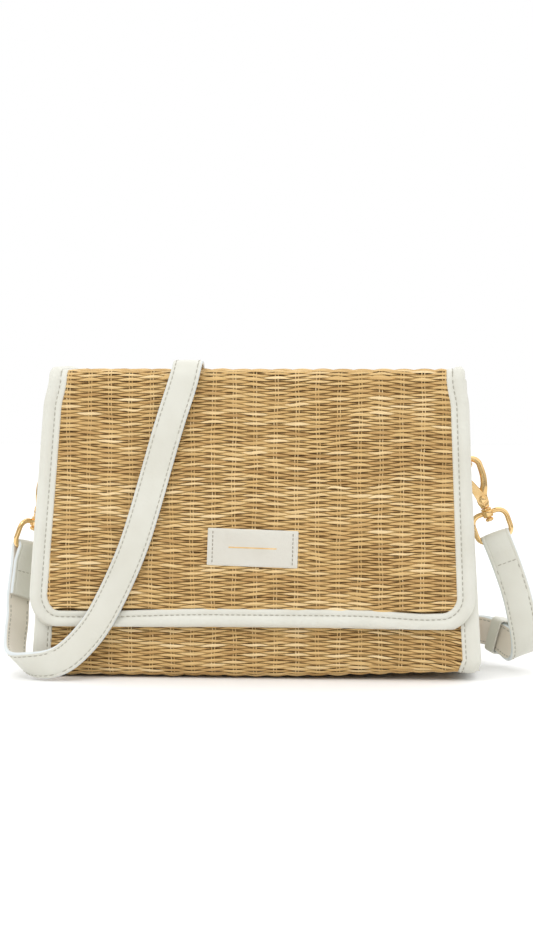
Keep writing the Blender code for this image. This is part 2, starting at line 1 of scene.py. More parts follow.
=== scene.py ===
"""The looks of the crossbody purse: woven straw, off-white leathercloth, gold clips and a flat strap.

Metres, in the CAD frame: the front faces -Y and the floor is z = 0. Each soft part is laid out in a
flat pattern (across, along, height above the sheet) and placed by a function of those three.
"""

import json
import math

import bpy
import numpy as np
from mathutils import Matrix, Vector


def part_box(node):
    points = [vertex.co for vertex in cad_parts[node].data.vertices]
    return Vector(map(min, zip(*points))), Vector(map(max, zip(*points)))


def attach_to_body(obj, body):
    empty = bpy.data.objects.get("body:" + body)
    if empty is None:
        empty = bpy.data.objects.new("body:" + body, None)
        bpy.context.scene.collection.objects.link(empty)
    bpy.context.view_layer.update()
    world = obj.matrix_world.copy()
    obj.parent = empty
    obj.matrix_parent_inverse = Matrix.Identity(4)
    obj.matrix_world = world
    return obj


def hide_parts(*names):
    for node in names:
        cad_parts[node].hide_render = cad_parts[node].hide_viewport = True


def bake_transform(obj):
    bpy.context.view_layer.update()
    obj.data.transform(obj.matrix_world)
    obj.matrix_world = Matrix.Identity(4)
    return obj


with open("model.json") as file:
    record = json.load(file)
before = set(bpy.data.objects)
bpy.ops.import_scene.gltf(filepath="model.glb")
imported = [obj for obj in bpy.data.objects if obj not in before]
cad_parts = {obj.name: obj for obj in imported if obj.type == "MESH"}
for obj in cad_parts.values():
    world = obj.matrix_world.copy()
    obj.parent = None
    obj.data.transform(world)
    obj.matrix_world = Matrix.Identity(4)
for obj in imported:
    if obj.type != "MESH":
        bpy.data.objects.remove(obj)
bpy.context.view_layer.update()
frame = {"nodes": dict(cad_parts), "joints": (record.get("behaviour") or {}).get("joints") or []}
NODES = frame["nodes"]
JOINTS = {joint["name"]: joint for joint in frame["joints"]}
MM = 0.001
RANDOM = np.random.default_rng(7)


def reach_at_ends(node, axis):
    """A node's lowest and highest z, with how far it reaches along an axis at each."""
    points = [v.co for v in NODES[node].data.vertices]
    low = min(p.z for p in points)
    high = max(p.z for p in points)
    foot = max(abs(p[axis]) for p in points if p.z < low + MM)
    head = max(abs(p[axis]) for p in points if p.z > high - MM)
    return low, high, foot, head


WIDTH_ENDS = reach_at_ends("front_binding_right", 0)
DEPTH_ENDS = reach_at_ends("front_panel", 1)
RIM = WIDTH_ENDS[1] + 1.5 * MM
FRONT_SLOPE = math.atan((DEPTH_ENDS[2] - DEPTH_ENDS[3]) / (DEPTH_ENDS[1] - DEPTH_ENDS[0]))

# The body
BULGE = 2.6 * MM  # how far the soft front and back swell out of their flat faces
BODY_INSET = 1.4 * MM  # from the outer face in to the straw's backing
BASE_INSET = 2.4 * MM  # the same under the base, where the bindings stand on the floor
BODY_CORNER = 6 * MM  # the bend from the front under the base
BODY_BINDING = 10 * MM
BODY_STRAW_HEIGHT = 0.85 * MM  # the middle of the weave above the backing
GUSSET_INSET = 9 * MM
GUSSET_SEAM = 6.2 * MM  # how far a gusset turns out into its side seams
GUSSET_FOOT = 5 * MM  # and into the seam under it
GUSSET_FOLD = 3.4 * MM  # how deep its middle folds in
GUSSET_FOLD_TOP = 112 * MM  # where the fold ends, below the ring's tab
GUSSET_SAG = 1.0 * MM
CUFF_CORNER = 9 * MM  # the rounded outer corners at the foot of the side bindings

# The flap, in heights out from the front face
FLAP_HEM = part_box("flap_binding")[0].z
FLAP_CORNER = 2 * MM
FLAP_DRIFT = -3 * MM
FLAP_OVERHANG = 1 * MM
FLAP_ROUND = 17 * MM  # the outer corners at its hem
FLAP_BINDING = 10 * MM
FLAP_SHOULDER = 1.8 * MM  # how much narrower it is each side where it bends over the top
SHOULDER_DROP = 15 * MM
FLAP_SEAM_HEIGHT = 149 * MM  # where it is sewn to the back
FLAP_LINING = (0.9 * MM, 1.5 * MM)
FLAP_SHADE_BACKING = (1.6 * MM, 2.0 * MM)
FLAP_STRAW_HEIGHT = 2.9 * MM
SETTLE = 4 * MM  # over which a strand lies down before its end goes under a binding

# The weave
WARP_PITCH = 11.3 * MM
WEFT_PITCH = 1.32 * MM
WARP_SPREAD = 0.78 * MM  # each warp is two threads this far either side of its middle
WARP_RADIUS = 0.27 * MM
STRAND_ACROSS = np.array([-1.0, -0.42, 0.42, 1.0])  # a strand's section, as shares of its half width
STRAND_CROWN = np.array([-0.1, 1.0, 0.9, -0.25])  # and of its thickness
STRAND_HALF = 0.34 * MM
STRAND_SWELL = 0.5 * MM  # how much wider it is over a warp than under one
STRAND_LIFT = 0.55 * MM
STRAND_THICK = 0.42 * MM
PAINTED_SHADE_UNDER = 0.55  # painted shade: how much darker the straw is where it dips under a warp, in the shadow of its threads

# Stitches
STITCH_PITCH = 3.0 * MM
STITCH_LENGTH = 2.1 * MM
STITCH_RADIUS = 0.32 * MM

# The strap
STRAP_HALF = 8.0 * MM
STRAP_LAYER = 2.9 * MM  # from middle to middle where two layers lie together
STRAP_STITCH_LINE = 6.1 * MM
TAIL_LENGTH = 26 * MM  # of the end that is folded round an eye's bar and sewn down
BAR_TURN = 3.0 * MM  # radius of the strap's middle round the bar
EYE_TURN = {"right": 0.0, "left": math.radians(50)}

# The strap's route: a point in millimetres, then the way its finished face looks.
LONG_ROUTE = [
    ((-132, 0, 65.2), (-0.77, 0.64, 0)),
    ((-132.6, -2.5, 55), (-0.75, 0.62, -0.1)),
    ((-133.4, -7, 43), (-0.76, 0.6, -0.15)),
    ((-133.8, -13.5, 29.5), (-0.78, 0.5, -0.3)),
    ((-133.6, -23, 17.3), (-0.78, 0.25, -0.55)),
    ((-129.8, -38.6, 9.4), (-0.6, -0.3, -0.72)),
    ((-119.5, -48.2, 8.2), (-0.3, -0.85, -0.45)),
    ((-107.5, -50.6, 9.8), (-0.1, -0.97, -0.15)),
    ((-97.8, -48, 15.5), (0, -1, 0)),
    ((-86.7, -43.2, 28), (0, -1, 0.05)),
    ((-78, -39.8, 43.5), (0, -1, 0.05)),
    ((-67.6, -38.6, 66.5), (0, -1, 0.05)),
    ((-59.8, -37.5, 89.7), (0, -1, 0.05)),
    ((-47.4, -35.4, 133.7), (0, -1, 0.05)),
    ((-39.6, -34.7, 158.5), (0, -1, 0.1)),
    ((-37.4, -32.4, 167.4), (0, -0.7, 0.7)),
    ((-37.3, -26, 170.8), (0, -0.1, 1)),
    ((-39.5, 0, 170.8), (0, 0, 1)),
    ((-41.5, 22, 170.7), (0, 0.1, 1)),
    ((-42, 31.2, 167.2), (0, 0.7, 0.7)),
    ((-42.5, 34, 158), (0, 1, 0.1)),
    ((-36, 34, 120), (0, 1, 0)),
    ((-26, 35.6, 75), (0, 1, 0)),
    ((-17, 37.5, 38), (0, 1, 0.05)),
    ((-12.5, 39.8, 20), (0, 0.95, 0.25)),
    ((-9.5, 44.5, 8.5), (0, 0.7, 0.7)),
    ((-6, 55, 2.8), (-0.05, 0.15, 1)),
    ((-5, 70, 2.6), (-0.1, 0, 1)),
    ((-3.5, 88, 5.6), (-0.5, 0, 0.86)),
    ((-1, 103, 7.6), (-0.86, 0, 0.5)),
    ((3, 118, 7.9), (-1, 0.1, 0)),
    ((10, 139, 7.8), (-0.87, 0.5, 0)),
    ((25, 155, 7.8), (-0.5, 0.87, 0)),
    ((46, 161, 7.8), (0, 1, 0)),
    ((67, 155, 7.8), (0.5, 0.87, 0)),
    ((81, 140, 7.9), (0.87, 0.5, 0)),
    ((86, 118, 8.2), (1, 0, 0)),
    ((85.5, 98, 9), (1, 0, 0)),
    ((87, 81, 10.8), (0.95, 0.3, 0)),
    ((93.4, 67.6, 12.7), (0.712, 0.702, 0)),
    ((101.4, 64.4, 14.2), (0.712, 0.702, 0)),
    ((109.4, 61.2, 15.7), (0.712, 0.702, 0)),
    ((115.6, 53.4, 17.4), (0.712, 0.702, 0)),
    ((120, 48.7, 18.4), (0.71, 0.71, 0)),
    ((127.2, 40.3, 18.8), (0.7, 0.71, 0)),
    ((133.7, 31.7, 17.1), (0.68, 0.72, -0.1)),
    ((137.2, 26.3, 15.2), (0.65, 0.72, -0.25)),
]
SHORT_ROUTE = [
    ((131.7, 0, 71.8), (0, -1, 0)),
    ((137, -2.5, 58), (0, -1, 0)),
    ((141.6, -3.5, 44), (0, -1, 0)),
    ((145, -2.6, 29), (0.05, -0.98, -0.15)),
    ((146.8, 0.8, 17.5), (0.15, -0.85, -0.5)),
    ((146, 6.5, 11), (0.3, -0.25, -0.92)),
    ((142.6, 13, 10.5), (0.45, 0.45, -0.78)),
    ((137.8, 20.5, 13.6), (0.6, 0.72, -0.35)),
    ((131.6, 29.6, 17.2), (0.68, 0.72, -0.1)),
    ((125, 38.2, 18.8), (0.7, 0.71, 0)),
    ((117, 47.6, 18.2), (0.712, 0.702, 0)),
    ((108.6, 56.3, 16.2), (0.712, 0.702, 0)),
]
KEEPER_ROUTE_INDEX = 8
BUCKLE_PLACE = Vector((101, 64, 14.2)) * MM
BUCKLE_ALONG = Vector((0.69, -0.70, 0.18)).normalized()
BUCKLE_OUT = Vector((0.712, 0.702, 0.0)).normalized()


# Shapes of the bag


def half_width(z):
    low, high, foot, head = WIDTH_ENDS
    return foot + (head - foot) * (z - low) / (high - low)


def half_depth(z):
    low, high, foot, head = DEPTH_ENDS
    return foot + (head - foot) * (z - low) / (high - low)


def ramp(value, start, end):
    """0 before start, 1 after end, and smooth between."""
    t = np.clip((value - start) / (end - start), 0, 1)
    return t * t * (3 - 2 * t)


def bulge(x, z):
    """The swell of a soft face, most in its middle."""
    across = np.cos(np.clip(x / half_width(z), -1, 1) * math.pi / 2)
    up = np.sin(np.clip(z / RIM, 0, 1) * math.pi)
    return BULGE * across * up**0.8


def ripple(x, s):
    """Slight unevenness of a hand-made sheet."""
    broad = np.sin(math.tau * (x / 0.083 + 0.3)) * np.sin(math.tau * (s / 0.067 + 0.1))
    slant = np.sin(math.tau * (x / 0.041 - s / 0.053))
    return 0.22 * MM * broad + 0.1 * MM * slant


def base_rise(x, z):
    """How far the soft base lifts off the floor towards its right end."""
    return 3.2 * MM * ramp(x, 0, 118 * MM) * (1 - ramp(z, 0, 80 * MM))


def arc_points(centre, radius, start, end, steps):
    """Points on an arc as pairs, angles in degrees."""
    angles = np.radians(np.linspace(start, end, steps + 1))
    return [(centre[0] + radius * math.cos(a), centre[1] + radius * math.sin(a)) for a in angles]


class Profile:
    """A line in the YZ plane that a sheet follows, with its outer side on the left."""

    def __init__(self, points):
        self.points = np.array(points)
        steps = np.linalg.norm(np.diff(self.points, axis=0), axis=1)
        self.run = np.concatenate([[0], np.cumsum(steps)])
        self.length = self.run[-1]
        along = np.gradient(self.points, self.run, axis=0)
        self.out = np.stack([-along[:, 1], along[:, 0]], axis=1)

    def at(self, s):
        y, z = (np.interp(s, self.run, self.points[:, k]) for k in (0, 1))
        out_y, out_z = (np.interp(s, self.run, self.out[:, k]) for k in (0, 1))
        size = np.hypot(out_y, out_z)
        return y, z, out_y / size, out_z / size


def body_profile():
    """From the middle of the base forward and up the front, at the straw's backing."""
    foot = -half_depth(0) + BODY_INSET + BODY_CORNER
    slope = math.degrees(FRONT_SLOPE)
    points = [(0, BASE_INSET), (foot, BASE_INSET)]
    points += arc_points((foot, BASE_INSET + BODY_CORNER), BODY_CORNER, 270, 180 - slope, 10)[1:]
    points.append((-half_depth(RIM) + BODY_INSET, RIM - 2 * MM))
    return Profile(points)


def flap_profile():
    """From the hem up the front, over the top and down the back to the seam."""
    slope = math.degrees(FRONT_SLOPE)
    centre_z = RIM - FLAP_CORNER
    depth = half_depth(centre_z) - FLAP_CORNER / math.cos(FRONT_SLOPE)
    points = [(-half_depth(FLAP_HEM), FLAP_HEM)]
    points += arc_points((-depth, centre_z), FLAP_CORNER, 180 - slope, 90, 8)
    points += arc_points((depth, centre_z), FLAP_CORNER, 90, slope, 8)
    points.append((half_depth(FLAP_SEAM_HEIGHT), FLAP_SEAM_HEIGHT))
    return Profile(points)


BODY = body_profile()
FLAP = flap_profile()
FLAP_BACK_EDGE = FLAP.length - (RIM - FLAP_SEAM_HEIGHT)


def on_body(flip):
    """Places a sheet on the front (flip 1) or the back (flip -1)."""

    def place(x, s, h):
        x, s, h = np.broadcast_arrays(x, s, h)
        y, z, out_y, out_z = BODY.at(s)
        lift = h + (bulge(x, z) + ripple(x, s)) * -out_y
        up = z + out_z * lift + base_rise(x, z)
        return np.stack([x, flip * (y + out_y * lift), up], axis=-1)

    return place


def on_flap(x, s, h):
    """Places a sheet on the flap. The layers press together where they are sewn to the back."""
    x, s, h = np.broadcast_arrays(x, s, h)
    y, z, out_y, out_z = FLAP.at(s)
    pressed = h * (1 - 0.5 * ramp(s, FLAP_BACK_EDGE, FLAP_BACK_EDGE + 7 * MM))
    lift = pressed + (bulge(x, z) + ripple(x, s)) * np.abs(out_y)
    return np.stack([x, y + out_y * lift, z + out_z * lift], axis=-1)


def flap_edge(s, hand):
    """x of the flap's left (-1) or right (1) edge, s up from the hem."""
    z = np.minimum(FLAP.at(s)[1], RIM)
    crest = FLAP_BACK_EDGE - half_depth(RIM) * 2
    top = ramp(s, crest - SHOULDER_DROP, crest)
    reach = half_width(z) + FLAP_OVERHANG - FLAP_SHOULDER * top
    return FLAP_DRIFT * (1 - z / RIM) + hand * reach


def body_edge(s):
    """Half width of the bound panel, s out from the middle of the base."""
    z = BODY.at(s)[1]
    drop = np.clip(CUFF_CORNER - z, 0, CUFF_CORNER)
    return half_width(z) - (CUFF_CORNER - np.sqrt(CUFF_CORNER**2 - drop**2))


# Meshes


def smooth_through(values, t):
    """A smooth curve through rows of numbers, t counting from row to row."""
    values = np.asarray(values, float)
    t = np.asarray(t, float)
    i = np.clip(t.astype(int), 0, len(values) - 2)
    f = (t - i)[:, None]
    a = values[np.maximum(i - 1, 0)]
    b, c = values[i], values[i + 1]
    d = values[np.minimum(i + 2, len(values) - 1)]
    return (
        b * 2 + (c - a) * f + (a * 2 - b * 5 + c * 4 - d) * f**2 + (b * 3 - a - c * 3 + d) * f**3
    ) / 2


class Shell:
    """Collects closed lofts, then becomes one object."""

    def __init__(self):
        self.points = []
        self.faces = []
        self.kinds = []
        self.strand = []
        self.count = 0

    def loft(self, rings, kinds=0, closed=False, strand=None):
        """Adds rings of points (n, k, 3), joined in order, or many such lofts (m, n, k, 3)."""
        rings = np.asarray(rings, float)
        if rings.ndim == 3:
            rings = rings[None]
        many, n, k, _ = rings.shape
        grid = np.arange(n * k).reshape(n, k)
        here = grid if closed else grid[:-1]
        there = np.roll(grid, -1, axis=0) if closed else grid[1:]
        quads = np.stack(
            [here, np.roll(here, -1, axis=1), np.roll(there, -1, axis=1), there], axis=-1
        ).reshape(-1, 4)
        kind = np.broadcast_to(kinds, (len(here), k)).ravel()
        a, b, c, d = (rings[0].reshape(-1, 3)[quads[:, j]] for j in range(4))
        middle = rings[0].reshape(-1, 3).mean(0)
        volume = ((a - middle) * np.cross(b - a, c - a)).sum()
        volume += ((a - middle) * np.cross(c - a, d - a)).sum()
        inward = volume < 0
        if inward:
            quads = quads[:, ::-1]
        caps = [] if closed else [grid[0][::-1], grid[-1]]
        if inward:
            caps = [cap[::-1] for cap in caps]
        for m in range(many):
            start = self.count + m * n * k
            self.faces += (quads + start).tolist()
            self.faces += [(cap + start).tolist() for cap in caps]
            self.kinds += kind.tolist() + [int(kind[0])] * len(caps)
        self.points.append(rings.reshape(-1, 3))
        if strand is not None:
            self.strand.append(np.asarray(strand).reshape(-1, 3))
        self.count += many * n * k

    def make(self, name, finishes, sharp=45):
        mesh = bpy.data.meshes.new(name)
        mesh.from_pydata(np.concatenate(self.points).tolist(), [], self.faces)
        for finish in finishes:
            mesh.materials.append(finish)
        mesh.polygons.foreach_set("material_index", self.kinds)
        if self.strand:
            layer = mesh.attributes.new("strand", "FLOAT_VECTOR", "POINT")
            layer.data.foreach_set("vector", np.concatenate(self.strand).astype(np.float32).ravel())
        mesh.shade_smooth()
        mesh.set_sharp_from_angle(angle=math.radians(sharp))
        mesh.update()
        made = bpy.data.objects.new(name, mesh)
        bpy.context.scene.collection.objects.link(made)
        return made


def lofted(name, rings, finishes, closed=False):
    """One object from one loft."""
    shell = Shell()
    shell.loft(rings, closed=closed)
    return shell.make(name, finishes)


def even_line(points, step):
    """A line again, as points about step apart, with the direction at each."""
    points = np.asarray(points, float)
    run = np.concatenate([[0], np.cumsum(np.linalg.norm(np.diff(points, axis=0), axis=1))])
    at = np.linspace(0, run[-1], max(2, round(run[-1] / step) + 1))
    line = np.stack([np.interp(at, run, points[:, k]) for k in range(points.shape[1])], axis=1)
    way = np.gradient(line, at, axis=0)
    return line, way / np.linalg.norm(way, axis=1)[:, None], at


def edging(place, line, section, step, pucker=0.0):
    """Rings of a binding: section is (in from the line, height) pairs; the bag is on the right."""
    line, way, at = even_line(line, step)
    inward = np.stack([way[:, 1], -way[:, 0]], axis=1)
    section = np.array(section) * MM
    d, h = section[:, 0], section[:, 1]
    swell = 1 + pucker * np.cos(math.tau * at / STITCH_PITCH)[:, None] * (h > h.max() * 0.9)
    x = line[:, :1] + inward[:, :1] * d
    s = line[:, 1:] + inward[:, 1:] * d
    return place(x, s, h * swell)


def inset_line(line, distance, step=1 * MM):
    """A line moved to its right, as bindings are."""
    line, way, _ = even_line(line, step)
    return line + np.stack([way[:, 1], -way[:, 0]], axis=1) * distance


def stitch_rings(place, line, height, pitch=STITCH_PITCH, length=STITCH_LENGTH, radius=STITCH_RADIUS):
    """Small rounded stitches along a line of a flat pattern."""
    points, way, at = even_line(line, 0.25 * MM)
    middles = np.arange(pitch / 2, at[-1] - pitch / 3, pitch)
    middle = np.stack([np.interp(middles, at, points[:, k]) for k in (0, 1)], axis=1)
    way = np.stack([np.interp(middles, at, way[:, k]) for k in (0, 1)], axis=1)
    lengthways = np.array([-0.5, -0.38, 0.0, 0.38, 0.5])[None, :, None] * length
    thick = np.array([0.35, 0.85, 1.0, 0.85, 0.35])[None, :, None] * radius
    sunk = np.array([-0.5, -0.1, 0.25, -0.1, -0.5])[None, :, None] * radius
    angles = np.arange(6) * math.tau / 6
    sideways = thick * np.cos(angles)
    up = height + sunk + thick * np.sin(angles)
    way_x, way_s = way[:, 0][:, None, None], way[:, 1][:, None, None]
    x = middle[:, 0][:, None, None] + way_x * lengthways - way_s * sideways
    s = middle[:, 1][:, None, None] + way_s * lengthways + way_x * sideways
    return place(x, s, up)


def slab_rings(place, left, right, along, low, high, across=24):
    """A thin closed sheet: at each step along, from left to right at two heights."""
    share = np.linspace(0, 1, across) if np.isscalar(across) else np.asarray(across)
    left, right, along = (np.asarray(v, float)[:, None] for v in (left, right, along))
    x = left + (right - left) * share[None, :]
    top = place(x, along, high)
    bottom = place(x[:, ::-1], along, low)
    return np.concatenate([top, bottom], axis=1)


# Straw


def strand_wave(x, s):
    """How far a row of weft strays along the sheet; neighbours stray together."""
    slow = np.sin(math.tau * (x / 0.093 + s / 0.21))
    quick = np.sin(math.tau * (x / 0.037 - s / 0.074 + 0.2))
    return 0.5 * MM * slow + 0.24 * MM * quick


def front_wave(x, s):
    """The same on the front wall, where the rows also sag towards the lower right corner."""
    right = np.clip((x - 48 * MM) / (70 * MM), 0, 1) ** 1.3
    low = ramp(s, 2 * MM, 34 * MM) * (1 - ramp(s, 48 * MM, 110 * MM))
    return strand_wave(x, s) - 10 * MM * right * low


def even_rows(place, first, last, height):
    """Rows evenly spaced at the weave's own height: where each is, and how s shrinks there."""
    s = np.arange(first, last, 0.1 * MM)
    steps = np.linalg.norm(np.diff(place(0 * s, s, height), axis=0), axis=1)
    run = np.concatenate([[0], np.cumsum(steps)])
    at = np.arange(WEFT_PITCH / 2, run[-1], WEFT_PITCH)
    shrink = np.interp(at, run, np.gradient(s, run))
    return np.interp(at, run, s), shrink


def strand_look(floats):
    """Tone, stray, lean and thickness, different at each float over a warp."""
    each = floats.max() + 1
    tone = (0.6 * RANDOM.random(each) + 0.4 * RANDOM.random())[floats]
    stray = RANDOM.normal(0, 0.15 * MM, each)[floats]
    lean = RANDOM.normal(0, 0.22 * MM, each)[floats]
    thick = (0.84 + 0.3 * RANDOM.random(each))[floats]
    return tone, stray, lean, thick


def weave(place, rows, ends, height, wave=strand_wave):
    """Weft strands that pass over and under paired warp threads. ends gives each row's two ends."""
    shell = Shell()
    step = WARP_PITCH / 6
    for i, (s, shrink) in enumerate(zip(*rows)):
        left, right = ends(s)
        left = ends(s + float(wave(left, s)) * shrink)[0]
        right = ends(s + float(wave(right, s)) * shrink)[1]
        if right - left < WARP_PITCH:
            continue
        x = np.arange(math.ceil(left / step), math.floor(right / step) + 1) * step
        x = np.concatenate([[left - 0.1 * MM], x, [right + 0.1 * MM]])
        phase = np.cos(math.pi * (x / WARP_PITCH + i))
        floats = np.floor(x / WARP_PITCH / 2 + i / 2 + 0.5).astype(int)
        floats -= floats.min()
        tone, stray, lean, thick = strand_look(floats)
        # Painted shade: the strand's tone drops where it dips under a warp.
        tone -= PAINTED_SHADE_UNDER * np.clip(-phase, 0, 1) ** 0.6
        width = (STRAND_HALF + STRAND_SWELL * ((1 + phase) / 2) ** 1.3) * thick
        over = np.clip(phase, 0, 1)
        middle = wave(x, s) + over * (stray + lean * np.sin(math.pi * x / WARP_PITCH))
        settled = np.clip(np.minimum(x - left, right - x) / SETTLE, 0, 1)
        lift = height + (STRAND_LIFT * phase + over * stray) * settled
        along = s + (middle[:, None] + width[:, None] * STRAND_ACROSS) * shrink
        up = lift[:, None] + STRAND_THICK * STRAND_CROWN
        points = place(x[:, None] + 0 * along, along, up)
        look = np.broadcast_arrays(x[:, None] * 100, i * 3.7 + STRAND_ACROSS, tone[:, None])
        shell.loft(points, strand=np.stack(look, axis=-1))
    return shell


def warps(place, rows, ends, height):
    """Pairs of thin warp threads, which rise over every second strand."""
    shell = Shell()
    rows = rows[0]
    widest = max(max(abs(e) for e in ends(s)) for s in rows)
    count = math.floor(widest / WARP_PITCH)
    angles = np.arange(5) * math.tau / 5
    for warp in range(-count, count + 1):
        for side in (-1, 1):
            x = warp * WARP_PITCH + side * WARP_SPREAD
            inside = [i for i, s in enumerate(rows) if ends(s)[0] < x < ends(s)[1]]
            if len(inside) < 3:
                continue
            i = np.arange(inside[0], inside[-1] + 0.01, 0.5)
            s = np.interp(i, np.arange(len(rows)), rows)
            up = height + 0.1 * MM - 0.3 * MM * np.cos(math.pi * (warp + i))
            drift = x + 0.2 * MM * np.sin(s / MM * 0.31 + warp) + 0.35 * MM * np.sin(s / MM * 0.09 + 2 * warp)
            ring_x = drift[:, None] + WARP_RADIUS * np.cos(angles)
            ring_h = up[:, None] + WARP_RADIUS * np.sin(angles)
            tone = np.full(ring_x.shape, 0.45 + 0.4 * RANDOM.random())
            strand = np.stack([ring_x * 400, s[:, None] * 100 + 0 * ring_x, tone], axis=-1)
            shell.loft(place(ring_x, s[:, None], ring_h), strand=strand)
    return shell


# The strap


def route_stations(route):
    """A route as even, fine stations: distance, middle and finished side."""
    points = np.array([p for p, _ in route], float) * MM
    faces = np.array([n for _, n in route], float)
    t = np.linspace(0, len(route) - 1, (len(route) - 1) * 24 + 1)
    middle = smooth_through(points, t)
    face = smooth_through(faces, t)
    run = np.concatenate([[0], np.cumsum(np.linalg.norm(np.diff(middle, axis=0), axis=1))])
    return run, middle, face


def unit(v):
    return v / np.linalg.norm(v, axis=-1, keepdims=True)


class Band:
    """A flat strap's middle line and finished side, measured from its tail, with where it rounds the bar."""

    def __init__(self, middle, face):
        step = 0.5 * MM
        joined, _, at = even_line(np.concatenate([middle, face], axis=1), step)
        self.middle = joined[:, :3]
        steps = np.linalg.norm(np.diff(self.middle, axis=0), axis=1)
        self.run = np.concatenate([[0], np.cumsum(steps)])
        self.length = self.run[-1]
        along = unit(np.gradient(self.middle, self.run, axis=0))
        face = unit(joined[:, 3:])
        face = unit(face - along * (along * face).sum(1, keepdims=True))
        self.face = face
        self.across = np.cross(along, face)
        first_part = self.middle[: len(self.run) // 4]
        self.bar_run = self.run[first_part[:, 2].argmax()]

    def place(self, a, d, h):
        """a across, d along, h above the middle on the finished side."""
        a, d, h = np.broadcast_arrays(a, d, h)
        here, across, face = (
            np.stack([np.interp(d, self.run, line[:, k]) for k in range(3)], axis=-1)
            for line in (self.middle, self.across, self.face)
        )
        return here + across * a[..., None] + face * h[..., None]

    def points(self, start, end):
        d = np.linspace(start, end, max(2, round((end - start) / (2 * MM)) + 1))
        return self.place(0 * d, d, 0 * d)

    def main(self, depth):
        """The distance of the main layer at a depth below the bar."""
        return self.bar_run + math.pi / 2 * BAR_TURN + depth

    def tail(self, depth):
        return max(self.bar_run - math.pi / 2 * BAR_TURN - depth, 0.0)

    def near(self, point):
        """The distance of the spot nearest a route point."""
        later = self.run > self.bar_run
        gap = np.linalg.norm(self.middle - np.array(point) * MM, axis=1)
        return float(self.run[np.where(later, gap, 9).argmin()])

    def spot(self, depth):
        """Between the two layers at a depth below the bar."""
        d = self.main(depth)
        inward = STRAP_LAYER / 2 if depth < TAIL_LENGTH else 0.0
        return Vector(self.place(0.0, d, -inward))


def strap_band(route, bar):
    """The strap from its folded tail, up and round an eye's bar, then along its route."""
    run, middle, face = route_stations(route)
    middle = middle.copy()
    in_front = ramp(-middle[:, 1], 25 * MM, 32 * MM) * ramp(middle[:, 2], 18 * MM, 30 * MM)
    middle[:, 1] -= in_front * np.clip(bulge(middle[:, 0], middle[:, 2]) - 0.5 * MM, 0, None)
    along = unit(np.gradient(middle, run, axis=0))
    side = unit(face - along * (along * face).sum(1, keepdims=True))
    doubled = 1 - ramp(run, TAIL_LENGTH, TAIL_LENGTH + 16 * MM)
    main = middle + side * (doubled * STRAP_LAYER / 2)[:, None]
    tail = middle - side * STRAP_LAYER / 2
    clear = 5 * MM
    down = np.arange(TAIL_LENGTH, clear, -1 * MM)
    tail_points = np.stack([np.interp(down, run, tail[:, k]) for k in range(3)], axis=1)
    tail_face = -np.stack([np.interp(down, run, side[:, k]) for k in range(3)], axis=1)
    out, up = side[0], -along[0]
    angles = np.radians(np.linspace(180, 0, 13))[:, None]
    wrap_face = out * np.cos(angles) + up * np.sin(angles)
    wrap = np.array(bar) + wrap_face * BAR_TURN
    onward = run > clear
    return Band(
        np.concatenate([tail_points, wrap, main[onward]]),
        np.concatenate([tail_face, wrap_face, side[onward]]),
    )


def strap_section():
    """The strap's outline, with which finish each side has: 0 face, 1 painted edge, 2 inner face."""
    half = STRAP_HALF / MM
    line = STRAP_STITCH_LINE / MM
    right = [(0, 1.48), (3.2, 1.42), (line - 0.7, 1.3), (line - 0.25, 1.2), (line, 1.0), (line + 0.25, 1.2)]
    right += [(line + 0.9, 1.24), (half - 0.5, 1.12), (half - 0.12, 0.75), (half, 0.1), (half - 0.1, -0.7)]
    right += [(half - 0.5, -1.12), (line + 0.8, -1.22), (line, -1.05), (line - 0.7, -1.25), (2.5, -1.28)]
    right += [(0, -1.28)]
    left = [(-a, h) for a, h in reversed(right[1:-1])]
    outline = np.array(right + left)
    kinds = []
    for (a, h), (b, g) in zip(outline, np.roll(outline, -1, axis=0)):
        edge = min(abs(a), abs(b)) >= half - 0.6
        kinds.append(1 if edge else 0 if h + g > 0 else 2)
    return outline * MM, kinds


def add_strap(shell, band, start, end, tip=False):
    """A stretch of strap, square at its ends or with a rounded tip."""
    section, kinds = strap_section()
    d = np.linspace(start, end, max(2, round((end - start) / (1.5 * MM)) + 1))
    width = np.ones_like(d)
    if tip:
        round_end = 7 * MM
        past = np.clip((d - end + round_end) / round_end, 0, 0.985)
        width = np.sqrt(1 - past**2)
    a = section[:, 0] * width[:, None]
    shell.loft(band.place(a, d[:, None], section[:, 1]), kinds)


def add_strap_stitches(shell, band, start, end):
    """Two rows on the finished side, and the same two seen on the inner side."""
    first = math.ceil(start / STITCH_PITCH) * STITCH_PITCH
    last = math.floor(end / STITCH_PITCH) * STITCH_PITCH
    for side in (-1, 1):
        line = [(side * STRAP_STITCH_LINE, first), (side * STRAP_STITCH_LINE, last)]
        for height, turn in ((1.12 * MM, 1), (-1.14 * MM, -1)):

            def on_side(a, d, h):
                return band.place(a, d, height + turn * h)

            shell.loft(stitch_rings(on_side, line, 0, radius=0.3 * MM), 3)


# Hardware


def joint_place(name):
    return Vector(JOINTS[name]["pos_m"])


def axes_at(place, x, y, z):
    turn = Matrix((x, y, z)).transposed().to_4x4()
    return Matrix.Translation(place) @ turn


